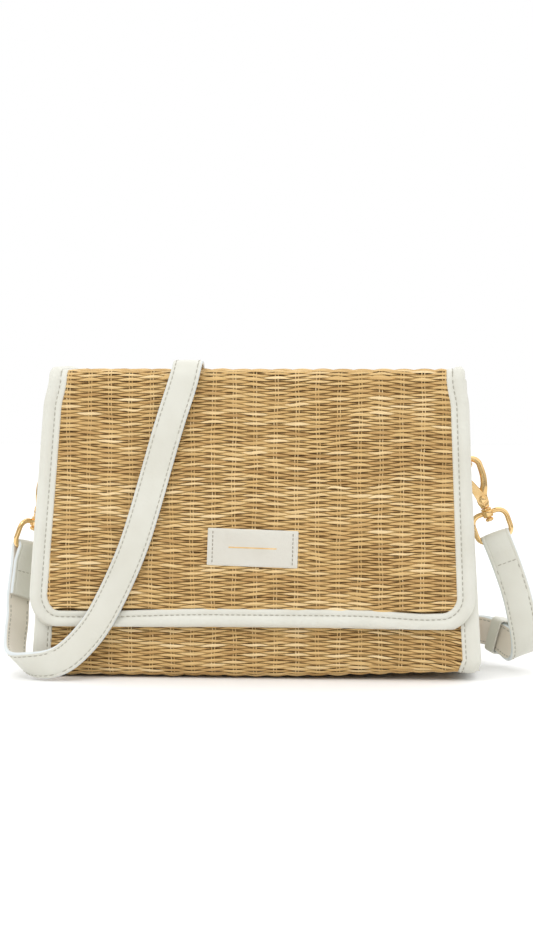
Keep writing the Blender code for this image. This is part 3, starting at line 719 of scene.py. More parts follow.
def side_frames(side):
    """Axes for one side's ring, clip, gate and eye: X outward, Z up along the part."""
    y = -Vector(JOINTS[f"ring_swing_{side}"]["axis"])
    ring, hook = joint_place(f"ring_swing_{side}"), joint_place(f"hook_swing_{side}")
    gate, eye = joint_place(f"gate_press_{side}"), joint_place(f"eye_swivel_{side}")
    up = (ring - hook).normalized()
    clip_up = Vector(JOINTS[f"eye_swivel_{side}"]["axis"]).normalized()
    outward = y.cross(clip_up)
    turned = Matrix.Rotation(EYE_TURN[side], 3, clip_up)
    return {
        "tab": axes_at(ring, y.cross(Vector((0, 0, 1))), y, Vector((0, 0, 1))),
        "ring": axes_at(ring, y.cross(up), y, up),
        "clip": axes_at(hook, outward, y, clip_up),
        "gate": axes_at(gate, outward, y, clip_up),
        "eye": axes_at(eye, turned @ outward, turned @ y, clip_up),
    }


def moved(rings, matrix):
    rings = np.asarray(rings, float)
    turn = np.array(matrix, float)
    return rings @ turn[:3, :3].T + turn[:3, 3]


def rod_rings(path, sides=20, fine=5):
    """Rings along a path in the XZ plane; each step is x, z, half width, half depth in mm."""
    t = np.linspace(0, len(path) - 1, (len(path) - 1) * fine + 1)
    rows = smooth_through(np.array(path, float), t) * MM
    way = unit(np.gradient(rows[:, :2], axis=0))
    angles = np.arange(sides) * math.tau / sides
    wide = rows[:, 2:3] * np.cos(angles)
    x = rows[:, 0:1] + way[:, 1:2] * wide
    z = rows[:, 1:2] - way[:, 0:1] * wide
    return np.stack([x, rows[:, 3:4] * np.sin(angles), z], axis=-1)


def loop_rings(outline, wire, plane, sides=16, step=0.8 * MM):
    """Rings of round wire round a closed outline in the XZ or YZ plane."""
    closed = np.array(outline + outline[:1])
    line, _, _ = even_line(closed, step)
    line = line[:-1]
    way = unit(np.roll(line, -1, axis=0) - np.roll(line, 1, axis=0))
    angles = np.arange(sides) * math.tau / sides
    flat = wire * np.cos(angles)
    u = line[:, 0:1] + way[:, 1:2] * flat
    v = line[:, 1:2] - way[:, 0:1] * flat
    off = np.broadcast_to(wire * np.sin(angles), u.shape)
    return np.stack([off, u, v] if plane == "YZ" else [u, off, v], axis=-1)


def turned_rings(profile, sides=24):
    """Rings about Z; each step is a radius and a height in mm."""
    angles = np.arange(sides) * math.tau / sides
    rows = np.array(profile, float) * MM
    x, y = rows[:, 0:1] * np.cos(angles), rows[:, 0:1] * np.sin(angles)
    return np.stack([x, y, rows[:, 1:2] + 0 * x], axis=-1)


def rounded_outline(half_a, half_b, corner):
    """A rectangle with round corners, as pairs."""
    outline = []
    for a, b, start in ((1, 1, 90), (1, -1, 0), (-1, -1, -90), (-1, 1, -180)):
        centre = (a * (half_a - corner), b * (half_b - corner))
        outline += arc_points(centre, corner, start, start - 90, 6)
    return outline


def strip_rings(line, way, section):
    """Rings of a strip along a line in the XZ plane; the section is across and height pairs in mm."""
    section = np.array(section) * MM
    x = line[:, 0:1] - way[:, 1:2] * section[:, 1]
    z = line[:, 1:2] + way[:, 0:1] * section[:, 1]
    return np.stack([x, np.broadcast_to(section[:, 0], x.shape), z], axis=-1)


def d_ring(side, place, metal):
    """A wire D with its straight bar at the top."""
    side_half, drop, corner = 9.5 * MM, 13.5 * MM, 2 * MM
    outline = arc_points((side_half - corner, -corner), corner, 90, 0, 5)
    outline += arc_points((0, side_half - drop), side_half, 0, -180, 24)
    outline += arc_points((corner - side_half, -corner), corner, 180, 90, 5)
    return lofted(f"ring_wire_{side}", moved(loop_rings(outline, 1.5 * MM, "YZ"), place), [metal], closed=True)


def clip_hook(side, place, metal):
    """Hook, hub and swivel post in one casting. The D-ring's wire is at the origin."""
    path = [(-4.95, -5.0, 0.9, 0.9), (-4.95, -4.5, 1.5, 1.5), (-4.95, -3.5, 1.65, 1.65)]
    path += [(x, z, 1.65, 1.65) for x, z in arc_points((0, -1.5), 4.95, 180, 0, 8)]
    path += [(4.7, -8, 1.8, 1.7), (3.2, -13.5, 2.0, 1.8), (0.8, -17.5, 2.8, 1.9), (0, -20, 3.2, 1.9)]
    path += [(0, -22.5, 3.0, 1.9), (0, -24.3, 2.2, 1.9)]
    shell = Shell()
    shell.loft(moved(rod_rings(path), place))
    neck = [(2.0, -23.6), (2.5, -23.9), (2.6, -24.5), (2.2, -24.9), (1.3, -25.0), (1.3, -30.8)]
    neck += [(2.0, -31.0), (2.3, -31.5), (2.2, -32.2), (1.6, -32.7)]
    shell.loft(moved(turned_rings(neck), place))
    return shell.make(f"clip_hook_{side}", [metal])


def clip_gate(side, place, metal):
    """Two cheeks that straddle the hub and close into a tongue against the hook's tip."""
    tip = (-4.6 * MM, 15.1 * MM)
    lean = math.degrees(math.atan2(-tip[0], tip[1]))
    shell = Shell()
    for hand in (-1, 1):
        rings = []
        for y, grow in ((2.3, -0.1), (2.4, 0), (2.9, 0), (3.1, -0.2)):
            outline = arc_points((0, 0), (2.9 + grow) * MM, 180 + lean, 360 + lean, 14)
            outline += arc_points(tip, (1.2 + grow) * MM, lean, 180 + lean, 8)
            rings.append([(x, hand * y * MM, z) for x, z in outline])
        shell.loft(moved(rings, place))
    way = unit(np.array(tip))
    angles = np.arange(16) * math.tau / 16
    rings = []
    tongue = [(0.76, 0.9, 1.5), (0.79, 1.5, 2.7), (0.9, 1.35, 2.7), (1.02, 1.15, 2.4), (1.07, 0.8, 1.8)]
    for share, wide, deep in tongue:
        flat = wide * MM * np.cos(angles)
        x, z = tip[0] * share + way[1] * flat, tip[1] * share - way[0] * flat
        rings.append(np.stack([x, deep * MM * np.sin(angles), z], axis=-1))
    shell.loft(moved(rings, place))
    return shell.make(f"clip_gate_{side}", [metal])


def clip_rivet(side, place, metal):
    """The gate's pin through the hub, with a domed head at each end."""
    head = [(0.6, 4.35), (1.5, 4.2), (2.0, 3.8), (2.1, 3.3), (1.1, 3.2)]
    profile = head + [(r, -z) for r, z in reversed(head)]
    rings = moved(turned_rings(profile), place @ Matrix.Rotation(math.pi / 2, 4, "X"))
    return lofted(f"clip_rivet_{side}", rings, [metal])


def clip_eye(side, place, metal):
    """The swivel eye: a rounded wire loop, with a collar that turns on the hook's post."""
    half, corner, low = 9.75 * MM, 5 * MM, -15.5 * MM
    reach = half - corner
    outline = arc_points((reach, -corner), corner, 90, 0, 8)
    outline += arc_points((reach, low + corner), corner, 0, -90, 8)
    outline += arc_points((-reach, low + corner), corner, -90, -180, 8)
    outline += arc_points((-reach, -corner), corner, 180, 90, 8)
    shell = Shell()
    shell.loft(moved(loop_rings(outline, 1.4 * MM, "XZ"), place), closed=True)
    collar = [(1.4, 2.7), (2.5, 2.75), (2.9, 2.4), (2.9, 1.7), (2.6, 1.45), (3.2, 1.1), (3.35, 0.2)]
    collar += [(3.2, -0.9), (2.8, -1.6), (2.9, -2.2), (2.4, -2.6), (1.4, -2.6)]
    shell.loft(moved(turned_rings(collar), place))
    return shell.make(f"clip_eye_{side}", [metal])


def ring_tab(side, place, leather, thread):
    """A strip folded round the D-ring's bar and sewn to the gusset."""
    lean = math.atan((WIDTH_ENDS[2] - WIDTH_ENDS[3]) / (WIDTH_ENDS[1] - WIDTH_ENDS[0]))
    place = place @ Matrix.Rotation(-lean, 4, "Y")
    middle = [(0.1, 19.5), (0.1, 13), (0.2, 8), (1.9, 3.4)]
    middle += [(x / MM, z / MM) for x, z in arc_points((0, 0), 2.45 * MM, 35, -180, 10)]
    middle += [(-2.5, 5), (-2.6, 10), (-2.6, 20)]
    t = np.linspace(0, len(middle) - 1, (len(middle) - 1) * 4 + 1)
    line = smooth_through(np.array(middle), t) * MM
    way = unit(np.gradient(line, axis=0))
    section = [(-7, 0), (-6.8, 0.5), (-5.4, 0.62), (0, 0.66), (5.4, 0.62), (6.8, 0.5), (7, 0)]
    section += [(6.8, -0.5), (0, -0.55), (-6.8, -0.5)]
    shell = Shell()
    shell.loft(moved(strip_rings(line, way, section), place))

    def on_tab(a, s, h):
        a, s, h = np.broadcast_arrays(a, s, h)
        return moved(np.stack([0.75 * MM + h, a, s], axis=-1), place)

    low, high, reach = 8.5 * MM, 18 * MM, 5.3 * MM
    line = [(-reach, high), (-reach, low), (reach, low), (reach, high)]
    shell.loft(stitch_rings(on_tab, line, 0.0, length=2.4 * MM), 1)
    return shell.make(f"tab_fold_{side}", [leather, thread])


# Materials


def node_material(name, roughness, metallic=0.0, colour=(0.8, 0.8, 0.8)):
    made = bpy.data.materials.new(name)
    made.use_nodes = True
    made.diffuse_color = (*colour, 1.0)
    shader = made.node_tree.nodes["Principled BSDF"]
    shader.inputs["Base Color"].default_value = (*colour, 1.0)
    shader.inputs["Roughness"].default_value = roughness
    shader.inputs["Metallic"].default_value = metallic
    return made, made.node_tree, shader


def add_node(tree, kind, **values):
    node = tree.nodes.new(kind)
    for key, value in values.items():
        if key in node.inputs:
            node.inputs[key].default_value = value
        else:
            setattr(node, key, value)
    return node


def noise_of(tree, vector, scale, detail=3.0, rough=0.5):
    node = add_node(tree, "ShaderNodeTexNoise", Scale=scale, Detail=detail, Roughness=rough)
    tree.links.new(vector, node.inputs["Vector"])
    return node.outputs["Fac"]


def position(tree):
    return add_node(tree, "ShaderNodeTexCoord").outputs["Object"]


def maths(tree, operation, a, b):
    node = add_node(tree, "ShaderNodeMath", operation=operation)
    for i, value in enumerate((a, b)):
        if isinstance(value, (int, float)):
            node.inputs[i].default_value = value
        else:
            tree.links.new(value, node.inputs[i])
    return node.outputs[0]


def colours(tree, factor, stops):
    """A colour ramp: stops are (place, colour) pairs."""
    ramp_node = add_node(tree, "ShaderNodeValToRGB")
    band = ramp_node.color_ramp
    while len(band.elements) < len(stops):
        band.elements.new(0.5)
    for element, (place, colour) in zip(band.elements, stops):
        element.position = place
        element.color = (*colour, 1.0)
    tree.links.new(factor, ramp_node.inputs["Fac"])
    return ramp_node.outputs["Color"]


def bump_into(tree, shader, heights):
    """Chains bumps: each is a height, a strength and a depth in metres."""
    normal = None
    for height, strength, depth in heights:
        node = add_node(tree, "ShaderNodeBump", Strength=strength, Distance=depth)
        tree.links.new(height, node.inputs["Height"])
        if normal:
            tree.links.new(normal, node.inputs["Normal"])
        normal = node.outputs["Normal"]
    tree.links.new(normal, shader.inputs["Normal"])


def straw_material(name):
    """Straw, from brown to cream by each strand's own tone, darkened by painted shade where it dips under a
    warp, with fibres along the strand.
    """
    made, tree, shader = node_material(name, 0.58, colour=(0.55, 0.37, 0.18))
    strand = add_node(tree, "ShaderNodeAttribute", attribute_name="strand").outputs["Vector"]
    parts = add_node(tree, "ShaderNodeSeparateXYZ")
    tree.links.new(strand, parts.inputs[0])
    stretch = add_node(tree, "ShaderNodeCombineXYZ")
    tree.links.new(maths(tree, "MULTIPLY", parts.outputs[0], 0.5), stretch.inputs[0])
    tree.links.new(maths(tree, "MULTIPLY", parts.outputs[1], 2.4), stretch.inputs[1])
    fibres = noise_of(tree, stretch.outputs[0], 1.6, 5.0, 0.65)
    bands = noise_of(tree, stretch.outputs[0], 0.5, 2.0)
    mixed = maths(tree, "MULTIPLY", parts.outputs[2], 0.5)
    mixed = maths(tree, "ADD", mixed, maths(tree, "MULTIPLY", fibres, 0.62))
    mixed = maths(tree, "ADD", mixed, maths(tree, "MULTIPLY", bands, 0.3))
    mixed = maths(tree, "SUBTRACT", mixed, 0.16)
    tint = colours(
        tree,
        mixed,
        [
            (0.1, (0.28, 0.15, 0.042)),
            (0.34, (0.51, 0.305, 0.105)),
            (0.58, (0.69, 0.465, 0.185)),
            (0.82, (0.90, 0.71, 0.41)),
        ],
    )
    tree.links.new(tint, shader.inputs["Base Color"])
    bump_into(tree, shader, [(fibres, 0.7, 0.0004)])
    return made


def leather_material(name, light, shade, grain=900.0, roughness=0.46):
    """Leathercloth: a fine pebbled grain, faint creases and slightly uneven colour."""
    made, tree, shader = node_material(name, roughness, colour=light)
    here = position(tree)
    pebbles = add_node(tree, "ShaderNodeTexVoronoi", Scale=grain, feature="SMOOTH_F1")
    tree.links.new(here, pebbles.inputs["Vector"])
    creases = noise_of(tree, here, 110.0, 4.0, 0.6)
    clouds = noise_of(tree, here, 38.0, 3.0)
    tint = colours(tree, clouds, [(0.3, shade), (0.62, light)])
    tree.links.new(tint, shader.inputs["Base Color"])
    bump_into(
        tree,
        shader,
        [(pebbles.outputs["Distance"], 0.22, 0.0003), (creases, 0.25, 0.0006)],
    )
    return made


def gold_material(name, metallic=1.0, roughness=0.07):
    """Light gold with faint smears in its colour and its polish."""
    made, tree, shader = node_material(name, 0.2, metallic, (0.78, 0.53, 0.24))
    here = position(tree)
    smears = noise_of(tree, here, 160.0, 3.0)
    tint = colours(tree, smears, [(0.3, (0.68, 0.44, 0.18)), (0.7, (0.86, 0.61, 0.30))])
    tree.links.new(tint, shader.inputs["Base Color"])
    polish = maths(tree, "ADD", maths(tree, "MULTIPLY", smears, 0.1), roughness)
    tree.links.new(polish, shader.inputs["Roughness"])
    bump_into(tree, shader, [(noise_of(tree, here, 700.0, 2.0), 0.02, 0.0002)])
    return made


def cloth_material(name, light, shade, threads=1500.0, roughness=0.85):
    """Plain woven cloth."""
    made, tree, shader = node_material(name, roughness, colour=light)
    here = position(tree)
    weft = add_node(tree, "ShaderNodeTexWave", Scale=threads, Distortion=1.0, bands_direction="Z")
    warp = add_node(tree, "ShaderNodeTexWave", Scale=threads, Distortion=1.0, bands_direction="X")
    for wave in (weft, warp):
        tree.links.new(here, wave.inputs["Vector"])
    both = maths(tree, "MULTIPLY", weft.outputs["Fac"], warp.outputs["Fac"])
    tint = colours(tree, noise_of(tree, here, 60.0), [(0.3, shade), (0.7, light)])
    tree.links.new(tint, shader.inputs["Base Color"])
    bump_into(tree, shader, [(both, 0.3, 0.0002)])
    return made


def thread_material(name, colour):
    """Sewing thread, with painted shade between its twists."""
    made, tree, shader = node_material(name, 0.75, colour=colour)
    twist = noise_of(tree, position(tree), 1800.0, 2.0)
    # Painted shade: the colour drops to 0.7 of itself between the twists.
    tint = colours(tree, twist, [(0.2, tuple(c * 0.7 for c in colour)), (0.7, colour)])
    tree.links.new(tint, shader.inputs["Base Color"])
    bump_into(tree, shader, [(twist, 0.3, 0.0002)])
    return made


def attach(piece, body, replaces=(), blends=None):
    """Rides on a body, or, where blends (a second body and two ends) is given, only has its place baked into
    its mesh.
    """
    if blends:
        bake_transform(piece)
    else:
        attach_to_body(piece, body)
    if replaces:
        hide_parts(*replaces)
    return piece


# The flap's body, with a line across its hinge from the back edge of the top forward.
HINGE = joint_place("flap_hinge")
FLAP_BEND = ("flap", HINGE + Vector((0, 3, -1)) * MM, HINGE + Vector((0, -7, 2)) * MM)


# The body


# A binding's section: millimetres in from the sheet's edge, and out from its backing.
BODY_SECTION = [(10, 0.2), (10, 1.4), (9.6, 1.8), (8.7, 1.9), (8.0, 1.62), (7.3, 1.95), (5, 2.15)]
BODY_SECTION += [(2.6, 2.1), (1.1, 1.75), (0.25, 1.0), (0, 0.1), (0.3, -0.8), (1.2, -1.25), (5, -1.3)]
BODY_SECTION += [(9.6, -1.2)]
BODY_STITCH_INSET = 8 * MM


def body_inside(s):
    reach = body_edge(s) - BODY_BINDING + 1 * MM
    return -reach, reach


def make_wall(name, flip, finishes):
    """One straw wall, which turns under the base, with a dark sheet behind it as painted shade between its
    strands, and its two side bindings.
    """
    place = on_body(flip)
    rows = even_rows(place, 0.2 * MM, BODY.length - 0.8 * MM, BODY_STRAW_HEIGHT)
    replaced = ["front_panel", "base_panel"] if name == "front" else ["back_panel"]
    wave = front_wave if name == "front" else strand_wave
    straw = weave(place, rows, body_inside, BODY_STRAW_HEIGHT, wave)
    straw = straw.make(f"{name}_straw", [finishes["straw"]])
    attach(straw, "root", replaced)
    warp = warps(place, rows, body_inside, BODY_STRAW_HEIGHT).make(f"{name}_warp", [finishes["warp"]])
    attach(warp, "root")
    s = np.linspace(0, BODY.length, 90)
    reach = np.array([body_inside(v)[1] for v in s])
    # A dark sheet under the straw: painted shade, seen in the gaps between the strands.
    sheet = slab_rings(place, -reach, reach, s, -0.35 * MM, 0.1 * MM)
    attach(lofted(f"{name}_backing", sheet, [finishes["backing"]]), "root")
    s = np.linspace(0, BODY.length, 150)
    edge = np.stack([body_edge(s), s], axis=1)
    for hand, side in ((-1, "left"), (1, "right")):
        line = edge[::-1] if hand > 0 else edge * [-1, 1]
        shell = Shell()
        shell.loft(edging(place, line, BODY_SECTION, 1.2 * MM))
        sewn = inset_line(line, BODY_STITCH_INSET)
        shell.loft(stitch_rings(place, sewn, 1.68 * MM), 1)
        piece = shell.make(f"{name}_edge_{side}", [finishes["leather"], finishes["thread"]])
        attach(piece, "root", [f"{name}_binding_{side}"])


def on_gusset(hand):
    """Places a sheet on a side wall: y across, z up, h outwards. It turns out into its seams."""

    def place(y, z, h):
        y, z, h = np.broadcast_arrays(y, z, h)
        depth = half_depth(z) - 2.7 * MM
        share = np.clip(np.abs(y) / depth, 0, 1)
        seam = GUSSET_SEAM * share**9 + GUSSET_FOOT * np.clip(1 - z / (9 * MM), 0, 1) ** 3
        up = np.sin(math.pi * np.clip(z / GUSSET_FOLD_TOP, 0, 1))
        fold = GUSSET_FOLD * np.exp(-((y / (9 * MM)) ** 2)) * up
        sag = GUSSET_SAG * np.cos(math.pi / 2 * share) * np.sin(math.tau * z / (75 * MM) + y / (20 * MM))
        x = half_width(z) - GUSSET_INSET + seam - fold - np.abs(sag) * (z < GUSSET_FOLD_TOP) + h
        return np.stack([hand * x, y, z + base_rise(hand * x, z)], axis=-1)

    return place


def make_gusset(hand, side, finishes):
    """A soft side wall with a hemmed and stitched top."""
    place = on_gusset(hand)
    low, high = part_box(f"gusset_{side}")[0].z - 0.6 * MM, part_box(f"gusset_{side}")[1].z
    z = np.linspace(low, high, 80)
    reach = half_depth(z) - 2.7 * MM
    share = (1 - np.cos(np.linspace(0, math.pi, 50))) / 2
    shell = Shell()
    shell.loft(slab_rings(place, -reach, reach, z, -1.6 * MM, -0.2 * MM, share))
    hem = np.linspace(high - 8 * MM, high + 0.3 * MM, 10)
    reach = half_depth(hem) - 5 * MM
    puff = -0.1 * MM + 0.5 * MM * np.sin(np.linspace(0, math.pi, 10))[:, None]
    shell.loft(slab_rings(place, -reach, reach, hem, -2.1 * MM, puff, share))
    reach = half_depth(high) - 7 * MM
    line = [(-reach, high - 6.6 * MM), (reach, high - 6.6 * MM)]
    shell.loft(stitch_rings(place, line, 0.15 * MM), 1)
    piece = shell.make(f"side_wall_{side}", [finishes["leather"], finishes["thread"]])
    attach(piece, "root", [f"gusset_{side}"])


def make_seam_tape(finishes):
    """The strip over the flap's sewn edge, across the back."""
    lower = FLAP.length + 1.5 * MM
    reach = half_width(FLAP_SEAM_HEIGHT) - 0.5 * MM
    section = [(0, 3.4), (0.15, 4.9), (0.7, 5.6), (1.8, 5.6), (2.3, 5.2), (2.8, 5.7), (6.5, 6.1)]
    section += [(10.2, 5.7), (10.7, 5.2), (11.2, 5.6), (12.3, 5.6), (12.85, 4.9), (13, 3.4)]
    section += [(9, 3.2), (4, 3.2)]
    line = [(-reach, lower), (reach, lower)]
    shell = Shell()
    shell.loft(edging(on_flap, line, section, 2.5 * MM))
    for inset in (2.3 * MM, 10.7 * MM):
        row = inset_line(line, inset)[1:-1]
        shell.loft(stitch_rings(on_flap, row, 5.3 * MM), 1)
    piece = shell.make("seam_tape", [finishes["leather"], finishes["thread"]])
    attach(piece, "root", ["back_seam_strip"])


def rounded_ring(half_x, half_y, z, corner=6 * MM):
    points = []
    for x, y, start in ((1, -1, -90), (1, 1, 0), (-1, 1, 90), (-1, -1, 180)):
        centre = (x * (half_x - corner), y * (half_y - corner))
        points += arc_points(centre, corner, start, start + 90, 6)
    ring = []
    for i, (a, b) in enumerate(zip(points, points[1:] + points[:1])):
        count = 20 if i % 7 == 6 else 1
        ring += [np.array(a) + (np.array(b) - a) * j / count for j in range(count)]
    return np.array([(x, y, z + base_rise(x, z)) for x, y in ring])


def make_lining(finishes):
    """A cloth cup inside the walls, and a tape round its mouth."""
    low, high = (corner.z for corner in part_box("body_lining"))

    def ring(z, inset):
        half_x = half_width(z) - GUSSET_INSET - 5.2 * MM - inset
        return rounded_ring(half_x, half_depth(z) - 3.2 * MM - inset, z)

    levels = np.linspace(low + 0.6 * MM, high, 30)
    rings = [ring(z, 0) for z in levels] + [ring(z, 0.8 * MM) for z in levels[::-1][:-1]]
    rings.append(ring(low + 1.4 * MM, 0.8 * MM))
    attach(lofted("lining_cup", rings, [finishes["lining"]]), "root", ["body_lining"])
    mouth = [(high - 9 * MM, 1.5), (high - 8.6 * MM, 2.0), (high - 4 * MM, 2.2), (high + 0.5 * MM, 1.7)]
    mouth += [(high + 1.0 * MM, 0.9), (high + 0.4 * MM, -0.1), (high - 0.6 * MM, 0.0)]
    tape_rings = [ring(z, inset * MM) for z, inset in mouth]
    tape_rings.append(ring(high - 9 * MM, 0.9 * MM))
    attach(lofted("mouth_tape", tape_rings, [finishes["leather"]], closed=True), "root")


def make_pocket(finishes):
    """A slip pocket with a hemmed top, sewn to the lining at the back."""

    def on_pocket(x, z, h):
        x, z, h = np.broadcast_arrays(x, z, h)
        return np.stack([x, half_depth(z) - 4.3 * MM - h, z], axis=-1)

    bottom, top = (corner.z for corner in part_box("inner_pocket"))
    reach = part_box("inner_pocket")[1].x
    z = np.linspace(bottom, top, 24)
    puff = 0.7 * MM + 0.5 * MM * np.sin(np.linspace(0, math.pi, 24))[:, None]
    pocket = Shell()
    pocket.loft(slab_rings(on_pocket, -reach + 0 * z, reach + 0 * z, z, 0.1 * MM, puff))
    z = np.linspace(top - 8 * MM, top + 0.3 * MM, 8)
    hem = 1.1 * MM + 0.35 * MM * np.sin(np.linspace(0, math.pi, 8))[:, None]
    pocket.loft(slab_rings(on_pocket, -reach + 0 * z, reach + 0 * z, z, 0.3 * MM, hem))
    inner = reach - 2 * MM
    outline = [(-inner, top - 1 * MM), (-inner, bottom + 2 * MM), (inner, bottom + 2 * MM), (inner, top)]
    pocket.loft(stitch_rings(on_pocket, outline, 0.85 * MM, radius=0.25 * MM), 1)
    piece = pocket.make("slip_pocket", [finishes["lining"], finishes["thread"]])
    attach(piece, "root", ["inner_pocket"])


def make_front_rim(finishes):
    """A narrow tape over the front wall's top edge."""
    s = BODY.length + 0.4 * MM
    reach = body_edge(BODY.length) - BODY_BINDING + 0.4 * MM
    section = [(0.4, -0.9), (0, 0), (0.3, 1.3), (1.2, 1.85), (4.5, 1.95), (5.6, 1.85), (6, 1.2), (6, 0.2)]
    section += [(6, -0.8), (5.6, -1.35), (1.2, -1.3)]
    shell = Shell()
    line = [(-reach, s), (reach, s)]
    shell.loft(edging(on_body(1), line, section, 3 * MM))
    shell.loft(stitch_rings(on_body(1), inset_line(line, 4.8 * MM), 1.8 * MM), 1)
    piece = shell.make("front_rim_tape", [finishes["leather"], finishes["thread"]])
    attach(piece, "root")


def make_snap(finishes):
    """A flat magnetic snap: the cup on the front, the button inside the flap."""
    place = on_body(1)
    z = (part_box("snap_socket")[0].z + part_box("snap_socket")[1].z) / 2
    s = float(np.interp(z, BODY.points[:, 1], BODY.run))
    middle = (FLAP_DRIFT, s)
    foot, head = (Vector(place(*middle, h)) for h in (0.0, 1 * MM))
    turn = (head - foot).to_track_quat("Z", "Y").to_matrix().to_4x4()
    at = Matrix.Translation(foot) @ turn
    cup = [(0.2, 1.3), (2.2, 1.3), (2.5, 1.9), (5.6, 2.05), (6.5, 1.9), (7.0, 1.4), (7.0, 0.3), (5, 0.1)]
    piece = lofted("snap_cup", moved(turned_rings(cup, 40), at), [finishes["metal"]])
    attach(piece, "root", ["snap_socket"])
    button = [(0.2, 1.6), (1.9, 1.65), (2.1, 2.2), (6.0, 2.25), (6.4, 2.4), (6.4, 2.8), (5, 2.9)]
    piece = lofted("snap_button", moved(turned_rings(button, 40), at), [finishes["metal"]])
    attach(piece, "flap", ["snap_stud"])


# The flap


# The same on the flap: a flat sewn margin, then a padded roll that turns under.
FLAP_SECTION = [(10, 2.4), (9.95, 3.4), (9.5, 3.95), (8.4, 4.1), (7.1, 4.05), (6.6, 3.75), (6.1, 4.1)]
FLAP_SECTION += [(5.2, 4.7), (4.0, 5.2), (2.6, 5.3), (1.4, 4.9), (0.5, 3.9), (0.05, 3.1), (0, 2.3)]
FLAP_SECTION += [(0.35, 1.4), (1.2, 0.95), (4, 0.85), (9.3, 0.9), (9.9, 1.2)]
FLAP_STITCH_INSET = 6.8 * MM


def hem_dip(x):
    """The soft hem hangs a little lower towards both of its corners."""
    right = 1.9 * MM * np.exp(-(((x - 92 * MM) / (22 * MM)) ** 2))
    left = 1.9 * MM * ramp(-x, 20 * MM, 95 * MM)
    return 0.3 * MM - right - left


def flap_outline():
    """The flap's outer edge in its pattern, from the back at the right round the hem to the left."""
    down = np.linspace(FLAP.length, FLAP_ROUND, 120)
    right = [(float(flap_edge(s, 1)), s) for s in down]
    left = [(float(flap_edge(s, -1)), s) for s in down[::-1]]
    right_foot, left_foot = right[-1][0], left[0][0]
    lower_right = arc_points((right_foot - FLAP_ROUND, FLAP_ROUND), FLAP_ROUND, 0, -90, 16)[1:]
    lower_left = arc_points((left_foot + FLAP_ROUND, FLAP_ROUND), FLAP_ROUND, 270, 180, 16)[:-1]
    hem = [(x, 0.0) for x in np.linspace(lower_right[-1][0], lower_left[0][0], 60)[1:-1]]
    outline = right + lower_right + hem + lower_left + left
    fade = [float(1 - ramp(s, 0, FLAP_ROUND)) for _, s in outline]
    return [(x, s + float(hem_dip(x)) * f) for (x, s), f in zip(outline, fade)]


def flap_inside(s):
    """Where the flap's straw ends under its binding, at the left and at the right."""
    ends = []
    inner = FLAP_ROUND - FLAP_BINDING + 1 * MM
    for hand in (-1, 1):
        edge = float(flap_edge(s, hand))
        inset = FLAP_BINDING - 1 * MM
        if s < FLAP_ROUND:
            inset = FLAP_ROUND - math.sqrt(max(inner**2 - (FLAP_ROUND - s) ** 2, 0))
        ends.append(edge - hand * inset)
    return ends


def make_flap(finishes):
    """The flap's straw, its dark backing of painted shade, its lining and its sewn edge."""
    first = FLAP_BINDING - 0.6 * MM
    rows = even_rows(on_flap, first, FLAP.length, FLAP_STRAW_HEIGHT)
    straw = weave(on_flap, rows, flap_inside, FLAP_STRAW_HEIGHT).make("flap_straw", [finishes["straw"]])
    attach(straw, "root", ["flap_panel"], FLAP_BEND)
    warp = warps(on_flap, rows, flap_inside, FLAP_STRAW_HEIGHT).make("flap_warp", [finishes["warp"]])
    attach(warp, "root", (), FLAP_BEND)
    s = np.concatenate([np.linspace(first, FLAP_ROUND, 9), np.linspace(FLAP_ROUND, FLAP.length, 110)[1:]])
    left, right = np.array([flap_inside(v) for v in s]).T
    # A dark sheet under the straw: painted shade, seen in the gaps between the strands.
    sheet = slab_rings(on_flap, left, right, s, *FLAP_SHADE_BACKING)
    attach(lofted("flap_backing", sheet, [finishes["backing"]]), "root", (), FLAP_BEND)
    sheet = slab_rings(on_flap, left, right, s, *FLAP_LINING)
    piece = lofted("flap_inner", sheet, [finishes["lining"]])
    attach(piece, "root", ["flap_lining"], FLAP_BEND)
    outline = flap_outline()
    edge = Shell()
    edge.loft(edging(on_flap, outline, FLAP_SECTION, STITCH_PITCH / 4, pucker=0.012))
    sewn = inset_line(outline, FLAP_STITCH_INSET)
    edge.loft(stitch_rings(on_flap, sewn, 3.85 * MM), 1)
    piece = edge.make("flap_edge", [finishes["leather"], finishes["thread"]])
    attach(piece, "root", ["flap_binding"], FLAP_BEND)


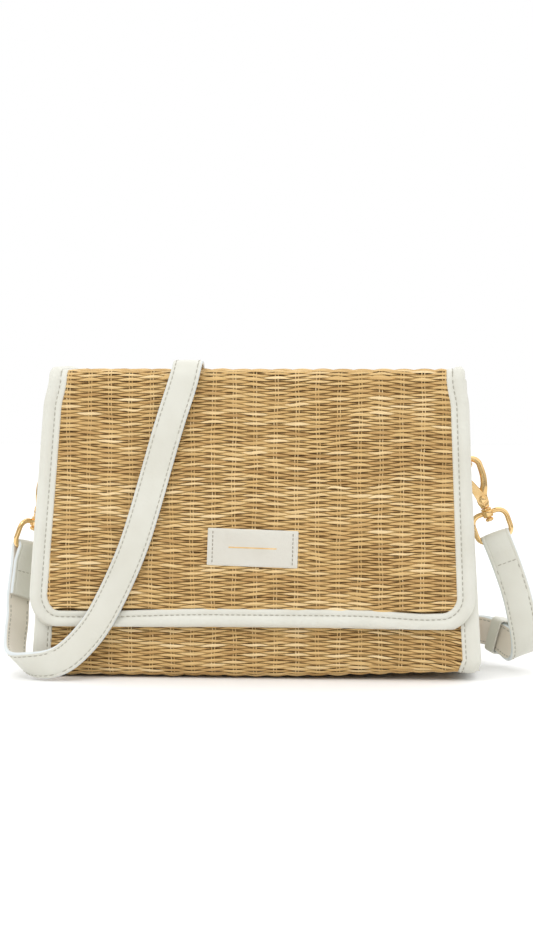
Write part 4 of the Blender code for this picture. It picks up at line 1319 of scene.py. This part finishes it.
def make_label(finishes):
    """A blank sewn patch with a thin gold rule."""
    low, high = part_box("label_patch")
    middle = (low + high) / 2
    across, tall, tilt = 49 * MM, 20 * MM, math.radians(-1.8)
    s0 = float(np.interp(middle.z, FLAP.points[:2, 1], FLAP.run[:2]))

    def place(a, b, h):
        x = middle.x + a * math.cos(tilt) - b * math.sin(tilt)
        return on_flap(x, s0 + a * math.sin(tilt) + b * math.cos(tilt), h)

    corner = 0.6 * MM
    b = np.concatenate([[0, 0.12, 0.3, 0.6, 1.2], np.linspace(3, 17, 8), [18.8, 19.4, 19.7, 19.88, 20]])
    b = b * MM - tall / 2
    past = np.clip(np.abs(b) - (tall / 2 - corner), 0, corner)
    reach = across / 2 - corner + np.sqrt(np.maximum(corner**2 - past**2, 0))
    share = np.array([0, 0.003, 0.008, 0.016, 0.03, 0.06, 0.2, 0.35, 0.5])
    share = np.concatenate([share, 1 - share[-2::-1]])
    edge = np.minimum(share, 1 - share)[None, :] * across
    near = np.minimum(edge, (tall / 2 - np.abs(b))[:, None])
    top = 4.05 * MM + 0.4 * MM * ramp(near, 0, 0.9 * MM)
    shell = Shell()
    shell.loft(slab_rings(place, -reach, reach, b, 3.5 * MM, top, share))
    inset = across / 2 - 2.8 * MM
    for side in (-1, 1):
        line = [(side * inset, -tall / 2 + 1.2 * MM), (side * inset, tall / 2 - 1.2 * MM)]
        rings = stitch_rings(place, line, 4.45 * MM, pitch=2.2 * MM, length=1.7 * MM, radius=0.26 * MM)
        shell.loft(rings, 1)
    rule = np.linspace(-0.35 * MM, 0.35 * MM, 3)
    half = 13 * MM + 0 * rule
    shell.loft(slab_rings(place, -half, half, rule, 4.3 * MM, 4.52 * MM, 12), 2)
    piece = shell.make("label_sewn", [finishes["label"], finishes["dark_thread"], finishes["gilt"]])
    attach(piece, "flap", ["label_patch"])


# Straps and clips


LOOP_DEPTH = 6 * MM  # how far below the bar each stretch of the strap's end reaches
TWIST_DEPTH = 20 * MM
LINK_DEPTH = 34 * MM
CROSS_STITCH_DEPTH = 14.5 * MM


def strap_end(side, band, finishes):
    """The folded end as three pieces, from the eye down."""
    loop = Shell()
    add_strap(loop, band, band.tail(LOOP_DEPTH), band.main(LOOP_DEPTH))
    attach(loop.make(f"strap_loop_{side}", finishes), f"eye_{side}")
    twist = Shell()
    add_strap(twist, band, band.main(LOOP_DEPTH), band.main(TWIST_DEPTH))
    add_strap(twist, band, band.tail(TWIST_DEPTH), band.tail(LOOP_DEPTH))
    add_strap_stitches(twist, band, band.main(CROSS_STITCH_DEPTH), band.main(TWIST_DEPTH))
    for d in (band.main(CROSS_STITCH_DEPTH), band.tail(CROSS_STITCH_DEPTH)):
        line = [(-STRAP_STITCH_LINE, d), (STRAP_STITCH_LINE, d)]
        twist.loft(stitch_rings(band.place, line, 1.38 * MM, 2.8 * MM, 2.2 * MM, 0.3 * MM), 3)
    piece = twist.make(f"strap_twist_{side}", finishes)
    ends = (f"eye_{side}", band.spot(TWIST_DEPTH), band.spot(LOOP_DEPTH))
    attach(piece, f"hook_{side}", (), ends)
    link = Shell()
    add_strap(link, band, band.main(TWIST_DEPTH), band.main(LINK_DEPTH))
    add_strap(link, band, 0, band.tail(TWIST_DEPTH))
    add_strap_stitches(link, band, band.main(TWIST_DEPTH), band.main(LINK_DEPTH))
    piece = link.make(f"strap_link_{side}", finishes)
    ends = (f"hook_{side}", band.spot(LINK_DEPTH), band.spot(TWIST_DEPTH))
    attach(piece, f"ring_{side}", (), ends)
    return [f"strap_loop_{side}", f"strap_twist_{side}", f"strap_link_{side}"]


def strap_run(name, band, start, end, finishes, tip=False):
    shell = Shell()
    add_strap(shell, band, start, end, tip)
    add_strap_stitches(shell, band, start, end - (6 * MM if tip else 0))
    return shell.make(name, finishes)


def declare_strap(band, start, end):
    path = band.points(start, end)


def make_straps(frames, finishes):
    """Both straps, as runs along their routes, each with a folded end at its clip."""
    bars = {side: frames[side]["eye"] @ Vector((0, 0, -15.5 * MM)) for side in ("left", "right")}
    left = strap_band(LONG_ROUTE, bars["left"])
    right = strap_band(SHORT_ROUTE, bars["right"])
    strap = [finishes[key] for key in ("strap_face", "strap_edge", "strap_inner", "thread")]
    ends = {"left": strap_end("left", left, strap), "right": strap_end("right", right, strap)}

    turn, crest = left.near(LONG_ROUTE[7][0]), left.near(LONG_ROUTE[13][0])
    drop = strap_run("strap_drop_left", left, left.main(LINK_DEPTH), turn, strap)
    hang = ("ring_left", Vector(left.place(0.0, turn, 0.0)), left.spot(LINK_DEPTH))
    attach(drop, "root", (), hang)
    run = strap_run("strap_front_run", left, turn, crest, strap)
    lift_start = Vector(left.place(0.0, turn, 0.0))
    lift_end = Vector(left.place(0.0, left.near(LONG_ROUTE[9][0]) - 2 * MM, 0.0))
    attach(run, "root", ["strap_long"], ("flap", lift_start, lift_end))
    back = strap_run("strap_back_run", left, crest, left.length, strap, tip=True)
    attach(back, "root", (), FLAP_BEND)
    low = right.near(SHORT_ROUTE[5][0])
    short = strap_run("strap_drop_right", right, right.main(LINK_DEPTH), right.length, strap)
    hang = ("ring_right", Vector(right.place(0.0, low, 0.0)), right.spot(LINK_DEPTH))
    attach(short, "root", ["strap_short"], hang)
    declare_strap(left, turn, crest)
    declare_strap(left, crest, left.length)
    declare_strap(right, right.main(LINK_DEPTH), right.length)


def make_keeper(finishes):
    """A loop of leathercloth round both layers of strap."""
    points = [Vector(p) * MM for p, _ in SHORT_ROUTE]
    i = KEEPER_ROUTE_INDEX
    along = (points[i + 1] - points[i - 1]).normalized()
    out = Vector(SHORT_ROUTE[i][1])
    out = (out - along * out.dot(along)).normalized()
    across = along.cross(out)
    middle = points[i] + out * STRAP_LAYER / 2
    place = axes_at(middle, across, along, out)
    outline = rounded_outline(STRAP_HALF + 1.5 * MM, 4.4 * MM, 1.6 * MM)
    line, _, _ = even_line(np.array(outline + outline[:1]), 0.8 * MM)
    line = line[:-1]
    way = unit(np.roll(line, -1, axis=0) - np.roll(line, 1, axis=0))
    section = [(-4, 0), (-3.7, 0.5), (-2.9, 0.62), (0, 0.6), (2.9, 0.62), (3.7, 0.5), (4, 0)]
    section += [(3.7, -0.5), (0, -0.55), (-3.7, -0.5)]
    rings = moved(strip_rings(line, way, section), place)
    piece = lofted("keeper_band", rings, [finishes["strap_face"]], closed=True)
    attach(piece, "root", ["keeper_loop"])


def make_buckle(finishes):
    """A pin buckle: a round wire frame, and a prong on its heel bar."""
    across = BUCKLE_OUT.cross(BUCKLE_ALONG)
    outline = rounded_outline(8 * MM, 9.7 * MM, 2.5 * MM)
    flat = axes_at(BUCKLE_PLACE, BUCKLE_ALONG, BUCKLE_OUT, across)
    rings = moved(loop_rings(outline, 1.3 * MM, "XZ"), flat)
    piece = lofted("buckle_wire", rings, [finishes["metal"]], closed=True)
    attach(piece, "root", ["buckle_frame"])
    heel = axes_at(joint_place("prong_hinge"), BUCKLE_ALONG, across, BUCKLE_OUT)
    path = [(-1.4, 1.0, 1.1, 1.2), (-4, 1.6, 1.0, 1.0), (-8, 1.9, 0.9, 0.9), (-13, 2.4, 0.9, 0.9)]
    path += [(-16.5, 2.6, 0.9, 0.9), (-17.6, 2.6, 0.45, 0.45)]
    shell = Shell()
    shell.loft(moved(rod_rings(path, 14), heel))
    knuckle = [(1.6, -1.6), (2.2, -1.5), (2.4, -1.1), (2.4, 1.1), (2.2, 1.5), (1.6, 1.6)]
    turn = Matrix.Rotation(math.pi / 2, 4, "X")
    rings = turned_rings(knuckle)
    bore = turned_rings([(1.45, z) for _, z in reversed(knuckle)])
    shell.loft(moved(np.concatenate([rings, bore]), heel @ turn), closed=True)
    attach(shell.make("buckle_pin", [finishes["metal"]]), "prong", ["buckle_prong"])


def make_hardware(frames, finishes):
    metal = finishes["metal"]
    for side in ("left", "right"):
        at = frames[side]
        tab = ring_tab(side, at["tab"], finishes["leather"], finishes["thread"])
        attach(tab, "root", [f"ring_tab_{side}"])
        attach(d_ring(side, at["ring"], metal), f"ring_{side}", [f"d_ring_{side}"])
        attach(clip_hook(side, at["clip"], metal), f"hook_{side}", [f"hook_{side}"])
        attach(clip_gate(side, at["gate"], metal), f"gate_{side}", [f"gate_{side}"])
        rivet = clip_rivet(side, at["gate"], metal)
        attach(rivet, f"hook_{side}", [f"gate_rivet_{side}"])
        attach(clip_eye(side, at["eye"], metal), f"eye_{side}", [f"swivel_eye_{side}"])


# The room


def make_camera():
    camera = bpy.data.objects.new("camera", bpy.data.cameras.new("camera"))
    bpy.context.scene.collection.objects.link(camera)
    aim = Vector((6.3, -35, 113.1)) * MM
    azimuth, elevation = math.radians(4.5), math.radians(3.0)
    distance, seen_height = 1.25, 0.507  # what the frame takes in at that distance
    flat = math.cos(elevation)
    back = Vector((math.sin(azimuth) * flat, -math.cos(azimuth) * flat, math.sin(elevation)))
    camera.location = aim + back * distance
    camera.rotation_euler = (-back).to_track_quat("-Z", "Y").to_euler()
    camera.data.sensor_width = 36
    camera.data.lens = camera.data.sensor_width * distance / seen_height
    camera.data.clip_start = 0.05
    camera.data.clip_end = 20
    bpy.context.scene.camera = camera


def area_light(name, place, aim, size, power, tint=(1, 1, 1)):
    light = bpy.data.lights.new(name, "AREA")
    light.size = size
    light.energy = power
    light.color = tint
    made = bpy.data.objects.new(name, light)
    bpy.context.scene.collection.objects.link(made)
    made.location = place
    made.rotation_euler = (Vector(aim) - Vector(place)).to_track_quat("-Z", "Y").to_euler()


def make_surround():
    """White behind the bag and overhead, and dimmer in front, so that the gold has something to show."""
    world = bpy.data.worlds.new("surround")
    world.use_nodes = True
    tree = world.node_tree
    background = tree.nodes["Background"]
    background.inputs["Color"].default_value = (1, 1, 1, 1)
    way = add_node(tree, "ShaderNodeSeparateXYZ")
    sky = add_node(tree, "ShaderNodeTexCoord").outputs["Generated"]
    tree.links.new(sky, way.inputs[0])
    behind = maths(tree, "MULTIPLY", way.outputs[1], 6.0)
    behind.node.use_clamp = True
    above = maths(tree, "MULTIPLY", way.outputs[2], 2.6)
    above.node.use_clamp = True
    front = maths(tree, "ADD", maths(tree, "MULTIPLY", above, 0.95), 0.32)
    tree.links.new(maths(tree, "MAXIMUM", behind, front), background.inputs["Strength"])
    bpy.context.scene.world = world
    bpy.context.scene.view_settings.view_transform = "Standard"


def make_room():
    """A pale floor and soft studio light from above and both sides."""
    reach = 3.0
    mesh = bpy.data.meshes.new("floor")
    corners = [(-reach, -reach, 0), (reach, -reach, 0), (reach, reach, 0), (-reach, reach, 0)]
    mesh.from_pydata(corners, [], [(0, 1, 2, 3)])
    floor = bpy.data.objects.new("floor", mesh)
    bpy.context.scene.collection.objects.link(floor)
    floor.location.z = -0.3 * MM
    pale, _, _ = node_material("floor", 0.9, colour=(0.95, 0.95, 0.95))
    mesh.materials.append(pale)
    make_surround()
    aim = (0, 0, 0.08)
    area_light("key", (-0.5, -1.0, 1.3), aim, 0.5, 4.0)
    area_light("fill", (1.1, -0.9, 0.5), aim, 0.9, 0.5)
    area_light("top", (0.1, 0.2, 1.4), aim, 0.8, 1.5)
    area_light("back", (0.3, 1.4, 0.9), aim, 0.8, 1.5)


def make_finishes():
    off_white, shade = (0.66, 0.655, 0.585), (0.615, 0.605, 0.53)
    beige, beige_shade = (0.60, 0.50, 0.36), (0.50, 0.40, 0.27)
    cream, cream_shade = (0.74, 0.69, 0.60), (0.67, 0.61, 0.52)
    paint, paint_shade = (0.66, 0.70, 0.70), (0.60, 0.64, 0.64)
    return {
        "straw": straw_material("straw"),
        "warp": straw_material("warp_thread"),
        # A dark brown sheet behind the straw: painted shade for the gaps between the strands.
        "backing": cloth_material("straw_backing", (0.17, 0.09, 0.028), (0.11, 0.055, 0.018)),
        "leather": leather_material("leathercloth", off_white, shade),
        "label": leather_material("label_leathercloth", (0.64, 0.625, 0.56), (0.595, 0.57, 0.50)),
        "lining": cloth_material("lining_cloth", beige, beige_shade),
        "thread": thread_material("thread", (0.45, 0.43, 0.36)),
        "dark_thread": thread_material("label_thread", (0.33, 0.30, 0.24)),
        "strap_face": leather_material("strap_face", off_white, shade, 700.0),
        "strap_edge": leather_material("strap_edge_paint", paint, paint_shade, 400.0, 0.35),
        "strap_inner": leather_material("strap_inner", cream, cream_shade, 1100.0, 0.6),
        "metal": gold_material("light_gold"),
        "gilt": gold_material("gilt", 0.5, 0.35),
    }


make_camera()
FINISHES = make_finishes()
FRAMES = {side: side_frames(side) for side in ("left", "right")}
make_straps(FRAMES, FINISHES)
make_keeper(FINISHES)
make_buckle(FINISHES)
make_hardware(FRAMES, FINISHES)
make_wall("front", 1, FINISHES)
make_wall("back", -1, FINISHES)
make_gusset(-1, "left", FINISHES)
make_gusset(1, "right", FINISHES)
make_seam_tape(FINISHES)
make_lining(FINISHES)
make_pocket(FINISHES)
make_front_rim(FINISHES)
make_snap(FINISHES)
make_flap(FINISHES)
make_label(FINISHES)
make_room()
